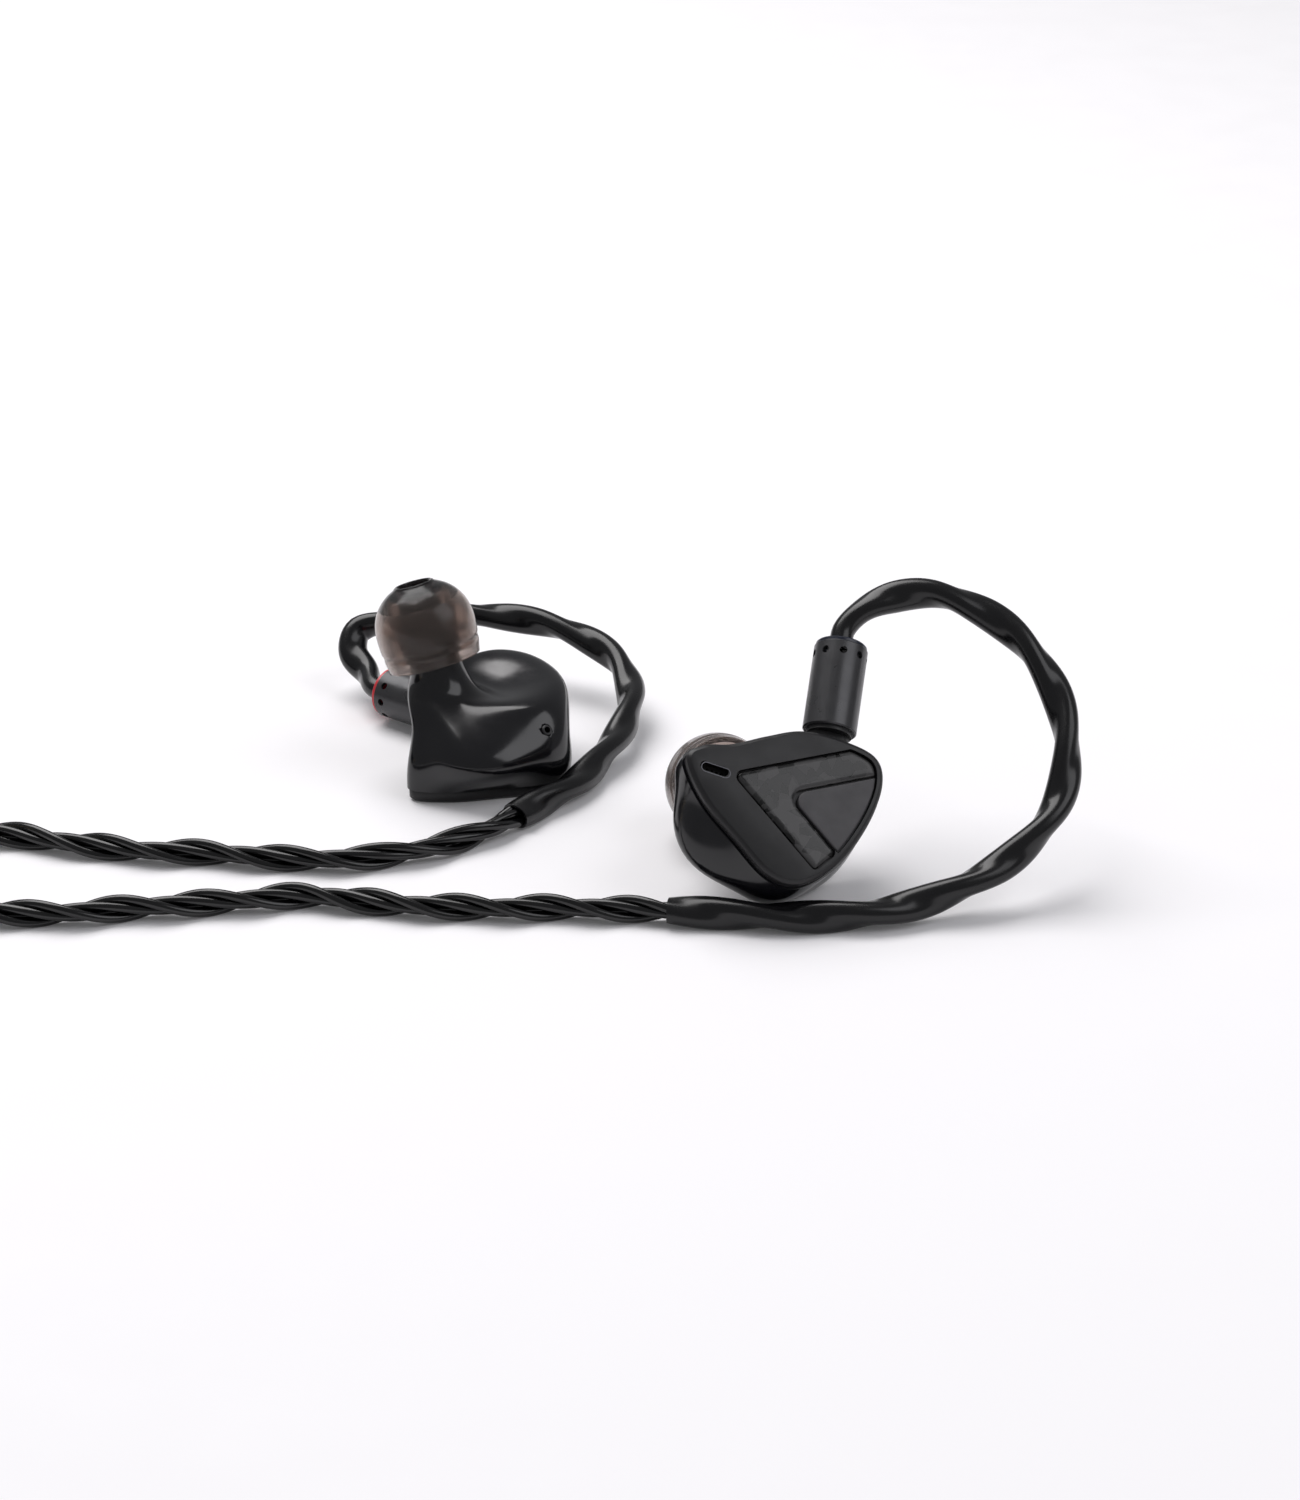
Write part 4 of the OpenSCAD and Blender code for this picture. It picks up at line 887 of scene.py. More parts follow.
def round_corners(corners):
    """Corners (x, y, radius) as an outline with round corners."""
    line = []
    for before, here, after in zip(corners[-1:] + corners[:-1], corners, corners[1:] + corners[:1]):
        p, radius = np.array(here[:2]), here[2]
        u, v = (np.array(q[:2]) - p for q in (before, after))
        u, v = u / np.linalg.norm(u), v / np.linalg.norm(v)
        half = math.acos(np.clip(u @ v, -1, 1)) / 2
        middle = p + (u + v) / np.linalg.norm(u + v) * radius / math.sin(half)
        start, stop = (p + way * radius / math.tan(half) - middle for way in (u, v))
        turn = math.acos(np.clip(start @ stop / radius**2, -1, 1))
        for k in np.linspace(0, 1, CORNER_STEPS):
            arm = start * math.sin(turn * (1 - k)) + stop * math.sin(turn * k)
            line.append(middle + arm / math.sin(turn))
    return np.array(line)


print("points to a round corner:", CORNER_STEPS)

# %% [markdown]
# ## The V's and the panel's corners
# The V is worked out from its tip, its two directions and its arms' width, so that a groove of
# even width runs round it: the recess is the same shape, grown by the groove.

# %% The V and the panel
def fork(grow):
    """The V's tip, inner corner and lower arm's end, grown outwards, its middle and half its angle."""
    bisect, spread = heading((ARM_UP + ARM_DOWN) / 2), math.radians(ARM_UP - ARM_DOWN) / 2
    tip = INLAY_TIP - bisect * grow / math.sin(spread)
    inner = tip + bisect * (ARM_W + 2 * grow) / math.sin(spread)
    end = tip + heading(ARM_DOWN) * (ARM_L + grow / math.tan(spread) + grow)
    return tip, inner, end, bisect, spread


def inlay_outline(grow):
    """The V, with its upper arm running on past the rim."""
    tip, inner, end, _, _ = fork(grow)
    up, down, width = heading(ARM_UP), heading(ARM_DOWN), ARM_W + 2 * grow
    side = end + np.array([-down[1], down[0]]) * width
    return round_corners([
        (*tip, ARM_ROUND + grow), (*end, CUT_ROUND + grow), (*side, ARM_ROUND + grow),
        (*inner, FORK_ROUND - grow), (*(inner + up * FACE_W), CUT_ROUND),
        (*(tip + up * FACE_W), CUT_ROUND),
    ])


def panel_outline(grow):
    """The corner between the V's arms, running on past the rim."""
    _, _, _, bisect, spread = fork(0)
    tip = INLAY_TIP + bisect * (ARM_W + PANEL_GROOVES * GROOVE_W - grow) / math.sin(spread)
    return round_corners([
        (*tip, FORK_ROUND), (*(tip + FACE_W * heading(ARM_DOWN)), CUT_ROUND),
        (*(tip + FACE_W * heading(ARM_UP)), CUT_ROUND),
    ])


print("the V opens by", ARM_UP - ARM_DOWN, "degrees")

# %% [markdown]
# ## Where the V and the panel meet the rim
# The V and the panel run on past the lid's rim, and what counts is the shape they share with
# the lid's inside. Cutting meshes could find it, but a flat triangulation does it exactly: it
# tells which triangles lie in both shapes, and the edges that only one of them has are the
# border.

# %% Shared outlines
SAME_PLACE = 1e-7


def shared_outline(p, q):
    """The outline of what two flat shapes share, anticlockwise."""
    corners = [Vector(v) for v in (*p, *q)]
    shapes = [list(range(len(p))), list(range(len(p), len(p) + len(q)))]
    points, _, faces, _, _, inside = delaunay_2d_cdt(corners, [], shapes, 1, SAME_PLACE)
    edges = {}
    for face, origin in zip(faces, inside):
        if len(set(origin)) == 2:
            edges.update({(face[i - 1], face[i]): True for i in range(len(face))})
    after = {a: b for a, b in edges if (b, a) not in edges}
    start = here = next(iter(after))
    loop = []
    while True:
        loop.append(points[here])
        here = after[here]
        if here == start:
            return np.array([tuple(v) for v in loop])


rim_line = grown(face_line, -RIM_W)
inlay_line = shared_outline(inlay_outline(0), rim_line)
panel_line = shared_outline(panel_outline(0), rim_line)
print("inlay and panel outlines:", len(inlay_line), len(panel_line), "points")

# %% [markdown]
# ## The lid itself
# The lid is a row of rings, each the same outline drawn in by a little and set at its own
# depth, which gives the wide chamfer round its face and a fine one at its back. Booleans then
# cut the recesses and the slot, and a bevel breaks the cut edges.

# %% Faceplates
FACE_EDGE = [(0, -0.46), (0.015, -0.41), (0.38, -0.035), (0.43, 0), (1.55, 0), (1.6, -0.03)]
EDGE_BREAK, EDGE_SEGMENTS, EDGE_ANGLE = 0.06, 2, math.radians(60)


def faceplate(side):
    """The lid with its recesses and slot."""
    rings = [np.column_stack([grown(face_line, grow), np.full(len(face_line), z)])
             for z, grow in FACE_EDGE]
    piece = skinned(f"{side}_face_plate", [np.array(rings)])
    open_rim = grown(face_line, GROOVE_W - RIM_W)
    recesses = [shared_outline(shape(GROOVE_W), open_rim) for shape in (inlay_outline, panel_outline)]
    cutters = [prism(recess, Matrix.Identity(4), -CUT_PAST, RECESS_D) for recess in recesses]
    slot = Matrix.Translation((*VENT_AT, 0)) @ turned("Z", VENT_TURN)
    cutters.append(prism(stadium(VENT_L, VENT_W), slot, -CUT_PAST, PLATE_T + CUT_PAST))
    ledge = stadium(VENT_L + 2 * VENT_STEP, VENT_W + 2 * VENT_STEP)
    cutters.append(prism(ledge, slot, PLATE_T - VENT_STEP, PLATE_T + CUT_PAST))
    cut_out(piece, cutters)
    place_piece(piece, side)
    bevel = piece.modifiers.new("edge_break", "BEVEL")
    bevel.width, bevel.segments = EDGE_BREAK * MM, EDGE_SEGMENTS
    bevel.limit_method, bevel.angle_limit = "ANGLE", EDGE_ANGLE
    bevel.harden_normals = True
    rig.ride(piece, "root")
    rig.replaces(piece, f"{side}_faceplate")
    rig.slot(piece, "faceplate")
    print(f"{piece.name}: {len(piece.data.polygons)} faces before its edges are broken")
    return piece


faceplates = {side: faceplate(side) for side in PLACES}

# %% [markdown]
# ## Inlay and panel
# The V is moulded forged carbon with a clear coat, so its edge is full and round and its face
# swells a little. The panel between its arms is flat, with a small round edge. Both are flat
# slabs whose face is a height field: every point sinks by an amount that depends only on its
# distance from the outline. A triangulation through a few inset outlines gives it the points
# where the edge turns.

# %% Crowned slabs
INSETS = (0.05, 0.12, 0.22, 0.36, 0.55, 0.8, 1.1, 1.45)
INLAY_EDGE = {"sink": 0.04, "drop": 0.3, "turn": 0.75}
PANEL_EDGE = {"sink": 0.13, "drop": 0.12, "turn": 0.25}
SLAB_STEP, STILL_INSIDE, SLAB_MERGE = 0.16, 0.93, 1e-5


def distance_to(outline, points):
    """How far each point is from the outline."""
    a, b = outline, np.roll(outline, -1, axis=0)
    way = b - a
    share = ((points[:, None] - a) * way).sum(2) / (way**2).sum(1)
    near = a + np.clip(share, 0, 1)[..., None] * way
    return np.linalg.norm(points[:, None] - near, axis=2).min(1)


def crowned_slab(name, outline, bottom, sink, drop, turn):
    """A slab whose face lies at sink and rounds over within turn of the outline, by drop."""
    closed = np.vstack([outline, outline[:1]])
    outline = even_steps(np.column_stack([closed, np.zeros(len(closed))]), SLAB_STEP)[:-1, :2]
    points = [outline]
    for inset in INSETS:
        ring = grown(outline, -inset)
        points.append(ring[distance_to(outline, ring) > STILL_INSIDE * inset])
    points = np.vstack(points)
    border = [(i, (i + 1) % len(outline)) for i in range(len(outline))]
    corners, _, faces, *_ = delaunay_2d_cdt([Vector(p) for p in points], border, [], 1, SLAB_MERGE)
    flat = np.array([tuple(v) for v in corners])
    t = np.clip(distance_to(outline, flat) / turn, 0, 1)
    depth = sink + drop * (1 - np.sqrt(1 - (1 - t) ** 2))
    count = len(flat)
    top = np.column_stack([flat, depth])
    base = np.column_stack([flat, np.full(count, bottom)])
    edges = {(face[i - 1], face[i]) for face in faces for i in range(len(face))}
    rim = [(a, b) for a, b in edges if (b, a) not in edges]
    skin = [tuple(reversed(face)) for face in faces] + [tuple(i + count for i in face) for face in faces]
    skin += [(a, b, b + count, a + count) for a, b in rim]
    return new_piece(name, np.vstack([top, base]), skin)


print("insets of a slab:", len(INSETS))

# %% [markdown]
# ## The two slabs of each lid
# Both slabs stand on the floor of their recesses and belong to the body that doesn't move.

# %% Inlays and panels
def inlay(side):
    """The forged-carbon V."""
    piece = crowned_slab(f"{side}_carbon_inlay", inlay_line, RECESS_D, **INLAY_EDGE)
    place_piece(piece, side)
    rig.ride(piece, "root")
    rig.replaces(piece, f"{side}_inlay")
    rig.slot(piece, "forged_carbon")
    return piece


def panel(side):
    """The flat corner between the V's arms, left bare."""
    piece = crowned_slab(f"{side}_bare_panel", panel_line, RECESS_D, **PANEL_EDGE)
    place_piece(piece, side)
    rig.ride(piece, "root")
    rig.replaces(piece, f"{side}_panel")
    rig.slot(piece, "panel")
    return piece


inlays = {side: inlay(side) for side in PLACES}
panels = {side: panel(side) for side in PLACES}
print("inlay:", len(inlays["left"].data.polygons), "faces; panel:", len(panels["left"].data.polygons))

# %% [markdown]
# ## Ear tips
# The tips are translucent silicone: a dome with a soft mouth, a fold a little above the
# skirt's edge, and a core that grips the nozzle. They are round, so each is one profile
# turned about the nozzle's axis. The profile goes up the outside, in through the mouth, down
# the bore and back up under the dome, so the wall has its real thickness and light can pass
# through it.

# %% Sizes of the ear tip
NOZZLE_L, TIP_D, TIP_L = 7.2, 12.3, 9.8
NOZZLE_END = NECK_S + NOZZLE_L
TIP_TOP = NOZZLE_END + 2.2
TIP_FOOT = TIP_TOP - TIP_L
WIDEST_AT, DOME_SPAN, DOME_FULLNESS, SKIRT_R, FOLD_R, FOLD_AT = 0.42, 0.62, 2.3, 0.92, 0.985, 0.2
FOLD_DEPTH, FOLD_WIDTH = 0.16, 0.035
SKIRT_WALL, MOUTH_R, CORE_R, CORE_WALL, CORE_FOOT = 0.6, 2.05, 2.85, 0.6, NECK_S + 0.3
LIP_W, LIP_RISE, MOUTH_L, STEP_L = 0.45, 0.16, 0.35, 0.3
DOME_TOP, INNER_GAP, DOME_WALL, EDGE_RISE = 0.82, 0.05, 1.2, 0.12
OUTER_POINTS, INNER_POINTS, LIP_POINTS, EDGE_POINTS = 61, 40, 9, 7
TIP_AROUND, TIP_SHARP = 96, math.radians(50)
NOZZLE = Matrix.Translation((*FOOT, 0)) @ Matrix.Rotation(-LEAN_ANGLE, 4, "X")


print(f"ear tip: {TIP_D} mm wide, {TIP_L} mm long")

# %% [markdown]
# ## Turning the profile
# The dome is one formula of the height: it closes towards the mouth, draws in a little towards
# the skirt, and dips at the fold.

# %% Ear tips
def dome_radius(t):
    """The ear tip's radius, from its skirt's edge at t = 0 to its mouth at t = 1."""
    closing = np.sqrt(1 - np.clip((t - WIDEST_AT) / DOME_SPAN, 0, 1) ** DOME_FULLNESS)
    skirt = np.where(t < FOLD_AT, mix(SKIRT_R, FOLD_R, t / FOLD_AT),
                     mix(FOLD_R, 1, smoothstep((t - FOLD_AT) / (WIDEST_AT - FOLD_AT))))
    fold = FOLD_DEPTH * np.exp(-(((t - FOLD_AT) / FOLD_WIDTH) ** 2))
    return TIP_D / 2 * closing * skirt - fold


def turned_piece(name, profile):
    """A lathe-turned solid from a closed profile of (radius, height)."""
    a = np.arange(TIP_AROUND) * math.tau / TIP_AROUND
    rings = [np.column_stack([r * np.cos(a), r * np.sin(a), np.full(TIP_AROUND, z)]) for r, z in profile]
    return skinned(name, [np.array(rings)], looped=True, sharp=TIP_SHARP)


def ear_tip(side):
    """The tip's profile, from the skirt's edge up, in through the mouth and back down, turned."""
    t = np.linspace(0, 1, OUTER_POINTS)
    outer = np.column_stack([np.maximum(dome_radius(t), MOUTH_R + LIP_W), TIP_FOOT + t * TIP_L])
    lip_angle = np.linspace(0, math.pi, LIP_POINTS)[1:-1]
    lip_r = LIP_W / 2
    lip = np.column_stack([MOUTH_R + lip_r + lip_r * np.cos(lip_angle),
                           TIP_TOP + LIP_RISE * np.sin(lip_angle)])
    bore = [(MOUTH_R, TIP_TOP), (MOUTH_R, NOZZLE_END + MOUTH_L), (CORE_R, NOZZLE_END + STEP_L),
            (CORE_R, CORE_FOOT), (CORE_R + CORE_WALL, CORE_FOOT)]
    under = np.linspace(DOME_TOP, 0, INNER_POINTS)
    inner = np.column_stack([
        np.maximum(dome_radius(under) - SKIRT_WALL, CORE_R + CORE_WALL + INNER_GAP),
        TIP_FOOT + under * (TIP_L - DOME_WALL)])
    edge_angle = np.linspace(0, math.pi, EDGE_POINTS)[1:-1]
    edge_r = SKIRT_WALL / 2
    edge = np.column_stack([TIP_D / 2 * SKIRT_R - edge_r - edge_r * np.cos(edge_angle),
                            TIP_FOOT - EDGE_RISE * np.sin(edge_angle)])
    profile = np.vstack([outer, lip, bore, inner, edge])
    piece = turned_piece(f"{side}_silicone_tip", profile)
    piece.data.transform(NOZZLE)
    place_piece(piece, side)
    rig.ride(piece, f"{side}_tip")
    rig.replaces(piece, f"{side}_ear_tip")
    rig.slot(piece, "silicone")
    return piece


ear_tips = {side: ear_tip(side) for side in PLACES}
print("ear tips:", {side: len(piece.data.polygons) for side, piece in ear_tips.items()}, "faces")

# %% [markdown]
# ## Materials
# Every finish is a node material built on the Principled shader. Values that are the same all
# over sit on its own sockets, and only what varies comes through nodes: colour mottling,
# patches of more and less gloss, and fine bumps. The patterns use object coordinates in
# metres, so a scale of 1000 gives grains about a millimetre wide, and they stay on the piece
# when it moves.

# %% Material nodes
def new_finish(name, color, roughness, **sockets):
    """A material with plain values on the Principled shader's sockets."""
    finish = bpy.data.materials.new(name)
    finish.use_nodes = True
    shader = finish.node_tree.nodes["Principled BSDF"]
    shader.inputs["Base Color"].default_value = (*color, 1)
    shader.inputs["Roughness"].default_value = roughness
    for socket, value in sockets.items():
        shader.inputs[socket.replace("_", " ")].default_value = value
    finish.diffuse_color = (*color, 1)
    return finish


def add(finish, kind, **settings):
    """A new node of a finish."""
    node = finish.node_tree.nodes.new(kind)
    for name, value in settings.items():
        setattr(node, name, value)
    return node


def link(finish, source, target):
    finish.node_tree.links.new(source, target)


def shader_of(finish):
    return finish.node_tree.nodes["Principled BSDF"]


print("material nodes ready")

# %% [markdown]
# ## Patterns
# Cloudy noise is the base of most natural unevenness. Its values crowd round the middle, so
# the range that matters is stretched before it is used.

# %% Patterns
PATTERN_LOW, PATTERN_HIGH = 0.3, 0.7


def spot(finish, stretch=(1, 1, 1)):
    """Object coordinates, stretched along the axes."""
    where = add(finish, "ShaderNodeTexCoord")
    scale = add(finish, "ShaderNodeMapping")
    scale.inputs["Scale"].default_value = stretch
    link(finish, where.outputs["Object"], scale.inputs["Vector"])
    return scale.outputs["Vector"]


def noise(finish, scale, detail):
    """A cloudy pattern from 0 to 1, with about scale clouds to the metre."""
    cloud = add(finish, "ShaderNodeTexNoise")
    cloud.inputs["Scale"].default_value = scale
    cloud.inputs["Detail"].default_value = detail
    link(finish, spot(finish), cloud.inputs["Vector"])
    return cloud.outputs["Fac"]


def ranged(finish, pattern, low, high):
    """A pattern's middle range stretched to run from low to high."""
    span = add(finish, "ShaderNodeMapRange")
    span.inputs["From Min"].default_value = PATTERN_LOW
    span.inputs["From Max"].default_value = PATTERN_HIGH
    span.inputs["To Min"].default_value = low
    span.inputs["To Max"].default_value = high
    link(finish, pattern, span.inputs["Value"])
    return span.outputs["Result"]


print(f"a pattern's range from {PATTERN_LOW} to {PATTERN_HIGH} is stretched")

# %% [markdown]
# ## What a pattern can do
# One pattern can tint a surface, make it glossier in places, or raise it. Bumps only tilt the
# shading, so they suit grain and fine scratches, and anything that changes an outline is real
# geometry instead. Several layers of bumps can lie on each other, coarse ones first.

# %% Colour, gloss and bumps
def mottle(finish, pattern, dark, light):
    """The pattern as a colour between dark and light."""
    blend = add(finish, "ShaderNodeMix", data_type="RGBA")
    blend.inputs["A"].default_value = (*dark, 1)
    blend.inputs["B"].default_value = (*light, 1)
    link(finish, ranged(finish, pattern, 0, 1), blend.inputs["Factor"])
    link(finish, blend.outputs["Result"], shader_of(finish).inputs["Base Color"])


def uneven_gloss(finish, pattern, low, high):
    """Roughness that follows the pattern from low to high."""
    link(finish, ranged(finish, pattern, low, high), shader_of(finish).inputs["Roughness"])


def bumps(finish, pattern, height, strength):
    """Bumps of this height, in metres, on top of those that are there."""
    bump = add(finish, "ShaderNodeBump")
    bump.inputs["Distance"].default_value = height
    bump.inputs["Strength"].default_value = strength
    link(finish, pattern, bump.inputs["Height"])
    normal = shader_of(finish).inputs["Normal"]
    if normal.is_linked:
        link(finish, normal.links[0].from_socket, bump.inputs["Normal"])
    link(finish, bump.outputs["Normal"], normal)


def wear(piece, finish):
    """Give a piece its only material."""
    piece.data.materials.clear()
    piece.data.materials.append(finish)


print("colour, gloss and bumps ready")

# %% [markdown]
# ## Resin
# Cast resin is polished by hand, so it is glossy with slow, shallow waves and a haze of fine
# rubbing marks. A plain glossy shader would look like a perfect mirror, so two layers of
# bumps and an uneven gloss break its reflections a little.

# %% Finish: resin
resin = new_finish("polished_resin", (0.0045, 0.0045, 0.006), 0.14)
uneven_gloss(resin, noise(resin, scale=420, detail=4), low=0.11, high=0.19)
bumps(resin, noise(resin, scale=260, detail=2), height=0.00003, strength=0.35)
bumps(resin, noise(resin, scale=5200, detail=3), height=0.000002, strength=0.25)
for piece in shells.values():
    wear(piece, resin)
print(resin.name)

# %% [markdown]
# ## Silicone
# Silicone is translucent: most of the light passes through it, and its surface has a soft,
# slightly dusty sheen. The tip looks darkest round the nozzle, where the thick stem and the dark
# nozzle inside it shade the silicone. Glass-like shading alone would hide that behind refraction, so
# this shade is painted: the colour itself darkens near the nozzle's axis. A point's distance from
# that axis is the length of a cross product.

# %% Finish: silicone
# Painted shade of the tip's core: within this distance of the nozzle's axis the colour darkens to this shade.
CORE_SHADE_R, CORE_SHADE_FADE = 3.6 * MM, 1.4 * MM
PAINTED_CORE_SHADE, SMOKE = (0.012, 0.011, 0.012), (0.42, 0.345, 0.31)


def world_axis(side, direction):
    """A direction of an earpiece's own frame, as it lies."""
    return (PLACES[side].to_3x3() @ Vector(direction)).normalized()


def silicone(side):
    """Translucent silicone with painted shade round the nozzle's axis, where the thick stem and the dark nozzle shade
    it.
    """
    finish = new_finish(f"{side}_smoky_silicone", SMOKE, 0.2, IOR=1.33, Transmission_Weight=0.93,
                        Sheen_Weight=0.15, Sheen_Roughness=0.4)
    where = add(finish, "ShaderNodeTexCoord")
    from_foot = add(finish, "ShaderNodeVectorMath", operation="SUBTRACT")
    from_foot.inputs[1].default_value = placed(side, (*FOOT, 0))[0]
    across = add(finish, "ShaderNodeVectorMath", operation="CROSS_PRODUCT")
    across.inputs[1].default_value = world_axis(side, LEAN)
    far = add(finish, "ShaderNodeVectorMath", operation="LENGTH")
    # Painted shade: the colour darkens towards the nozzle's axis, for the shade of the thick stem and the dark nozzle
    # seen through.
    core = add(finish, "ShaderNodeMapRange", interpolation_type="SMOOTHSTEP")
    core.inputs["From Min"].default_value = CORE_SHADE_R
    core.inputs["From Max"].default_value = CORE_SHADE_R + CORE_SHADE_FADE
    blend = add(finish, "ShaderNodeMix", data_type="RGBA")
    blend.inputs["A"].default_value = (*PAINTED_CORE_SHADE, 1)
    blend.inputs["B"].default_value = (*SMOKE, 1)
    link(finish, where.outputs["Object"], from_foot.inputs[0])
    link(finish, from_foot.outputs["Vector"], across.inputs[0])
    link(finish, across.outputs["Vector"], far.inputs[0])
    link(finish, far.outputs["Value"], core.inputs["Value"])
    link(finish, core.outputs["Result"], blend.inputs["Factor"])
    link(finish, blend.outputs["Result"], shader_of(finish).inputs["Base Color"])
    uneven_gloss(finish, noise(finish, scale=900, detail=3), low=0.17, high=0.24)
    bumps(finish, noise(finish, scale=3800, detail=3), height=0.000003, strength=0.3)
    return finish


for side, piece in ear_tips.items():
    wear(piece, silicone(side))
print([piece.name for piece in ear_tips.values()])

# %% [markdown]
# ## Faceplate lid
# The lid is satin black, with a fine bead-blasted grain. The grain is far finer than a pixel,
# so it shows only as a soft, slightly uneven sheen.

# %% Finish: faceplate
lid_black = new_finish("satin_lid", (0.008, 0.0078, 0.009), 0.4, Specular_IOR_Level=0.4)
mottle(lid_black, noise(lid_black, scale=700, detail=3),
       dark=(0.007, 0.0068, 0.008), light=(0.009, 0.0088, 0.01))
uneven_gloss(lid_black, noise(lid_black, scale=300, detail=4), low=0.36, high=0.46)
bumps(lid_black, noise(lid_black, scale=9000, detail=2), height=0.000006, strength=0.5)
for piece in faceplates.values():
    wear(piece, lid_black)
print(lid_black.name)

# %% [markdown]
# ## Forged carbon
# Forged carbon is chopped fibre pressed in resin: short flat flakes lie every way, each a
# slightly different grey, under a clear coat. An image of the real weave would repeat, so two
# Voronoi patterns, stretched in different directions, make the flakes. Their sum drives
# colour, gloss and bumps at once, because a flake that looks lighter also lies differently.

# %% Finish: forged carbon
FLAKE_WARP, WARP_SCALE = 0.0006, 500
FLAKES_SHARE = 0.5
carbon = new_finish("forged_carbon", (0.03, 0.03, 0.031), 0.34, Coat_Weight=0.3, Coat_Roughness=0.08,
                    Specular_IOR_Level=0.3)


def flakes(stretch, scale):
    """Flat flakes, each with its own shade, whose borders are warped a little."""
    cells = add(carbon, "ShaderNodeTexVoronoi", feature="F1")
    cells.inputs["Scale"].default_value = scale
    warp = add(carbon, "ShaderNodeMix", data_type="VECTOR")
    warp.inputs["Factor"].default_value = FLAKE_WARP
    cloud = add(carbon, "ShaderNodeTexNoise")
    cloud.inputs["Scale"].default_value = WARP_SCALE
    here = spot(carbon, stretch)
    link(carbon, here, cloud.inputs["Vector"])
    link(carbon, here, warp.inputs["A"])
    link(carbon, cloud.outputs["Color"], warp.inputs["B"])
    link(carbon, warp.outputs["Result"], cells.inputs["Vector"])
    shade = add(carbon, "ShaderNodeSeparateColor")
    link(carbon, cells.outputs["Color"], shade.inputs["Color"])
    return shade.outputs["Red"]


both = add(carbon, "ShaderNodeMath", operation="MULTIPLY_ADD")
both.inputs[1].default_value = FLAKES_SHARE
link(carbon, flakes(stretch=(1, 2.2, 1.4), scale=330), both.inputs[0])
second = add(carbon, "ShaderNodeMath", operation="MULTIPLY")
second.inputs[1].default_value = 1 - FLAKES_SHARE
link(carbon, flakes(stretch=(2.2, 1, 1.8), scale=380), second.inputs[0])
link(carbon, second.outputs["Value"], both.inputs[2])
mottle(carbon, both.outputs["Value"], dark=(0.0015, 0.0015, 0.0017), light=(0.05, 0.049, 0.05))
uneven_gloss(carbon, both.outputs["Value"], low=0.26, high=0.5)
bumps(carbon, both.outputs["Value"], height=0.00003, strength=0.5)
for piece in inlays.values():
    wear(piece, carbon)
print(carbon.name)

# %% [markdown]
# ## Panel
# The panel is matt lacquer, a shade lighter than the lid. It is left bare.

# %% Finish: panel
panel_grey = new_finish("matt_panel", (0.055, 0.053, 0.057), 0.55)
mottle(panel_grey, noise(panel_grey, scale=600, detail=4),
       dark=(0.05, 0.048, 0.052), light=(0.06, 0.058, 0.062))
uneven_gloss(panel_grey, noise(panel_grey, scale=450, detail=3), low=0.5, high=0.62)
bumps(panel_grey, noise(panel_grey, scale=7000, detail=2), height=0.000008, strength=0.5)
for piece in panels.values():
    wear(piece, panel_grey)
print(panel_grey.name)

# %% [markdown]
# ## Cable finishes
# The wires are soft and glossy, with a faint unevenness along them. Shrink sleeve is thinner
# over the pairs than between them, slightly wrinkled, and less glossy than the wires.

# %% Finish: wires and sleeves
wire_black = new_finish("glossy_wire", (0.002, 0.002, 0.0024), 0.16, Specular_IOR_Level=0.5)
uneven_gloss(wire_black, noise(wire_black, scale=500, detail=3), low=0.14, high=0.22)
bumps(wire_black, noise(wire_black, scale=1500, detail=3), height=0.00001, strength=0.35)
for piece in [*ear_wires.values(), lead_wires]:
    wear(piece, wire_black)

sleeve_black = new_finish("shrink_sleeve", (0.0035, 0.0035, 0.0042), 0.25, Specular_IOR_Level=0.42)
uneven_gloss(sleeve_black, noise(sleeve_black, scale=400, detail=3), low=0.2, high=0.28)
bumps(sleeve_black, noise(sleeve_black, scale=500, detail=2), height=0.00002, strength=0.25)
bumps(sleeve_black, noise(sleeve_black, scale=6000, detail=2), height=0.000004, strength=0.3)
for piece in hooks.values():
    wear(piece, sleeve_black)
print(wire_black.name, sleeve_black.name)

# %% [markdown]
# ## Turned metal
# The barrels are turned and anodised black. Turning leaves fine rings, so their bumps are
# noise of one dimension that runs along the barrel: the distance along its axis is the dot
# product of a point with the axis. The nozzles are turned in the same way. Both keep their
# CAD shape, and only their round faces are shaded smooth.

# %% Finish: turned metal
RING_SCALE, RING_DETAIL, RING_HEIGHT, RING_STRENGTH = 9000, 2, 0.000004, 0.6
TURNED_SMOOTH, TURNED_ROUGH = 0.85, 1.2
DRESS_SHARP = math.radians(35)


def ringed(name, color, roughness, axis, **sockets):
    """A turned metal with fine rings square to its axis."""
    finish = new_finish(name, color, roughness, **sockets)
    where = add(finish, "ShaderNodeTexCoord")
    dot = add(finish, "ShaderNodeVectorMath", operation="DOT_PRODUCT")
    dot.inputs[1].default_value = tuple(axis)
    rings = add(finish, "ShaderNodeTexNoise", noise_dimensions="1D")
    rings.inputs["Scale"].default_value = RING_SCALE
    rings.inputs["Detail"].default_value = RING_DETAIL
    link(finish, where.outputs["Object"], dot.inputs[0])
    link(finish, dot.outputs["Value"], rings.inputs["W"])
    bumps(finish, rings.outputs["Fac"], RING_HEIGHT, RING_STRENGTH)
    uneven_gloss(finish, noise(finish, scale=500, detail=3),
                 low=roughness * TURNED_SMOOTH, high=roughness * TURNED_ROUGH)
    return finish


def dress(finish, *nodes):
    """Give carried-over CAD nodes a finish, and shade their round faces smooth."""
    for name in nodes:
        node = frame["nodes"][name]
        wear(node, finish)
        node.data.shade_smooth()
        node.data.set_sharp_from_angle(angle=DRESS_SHARP)


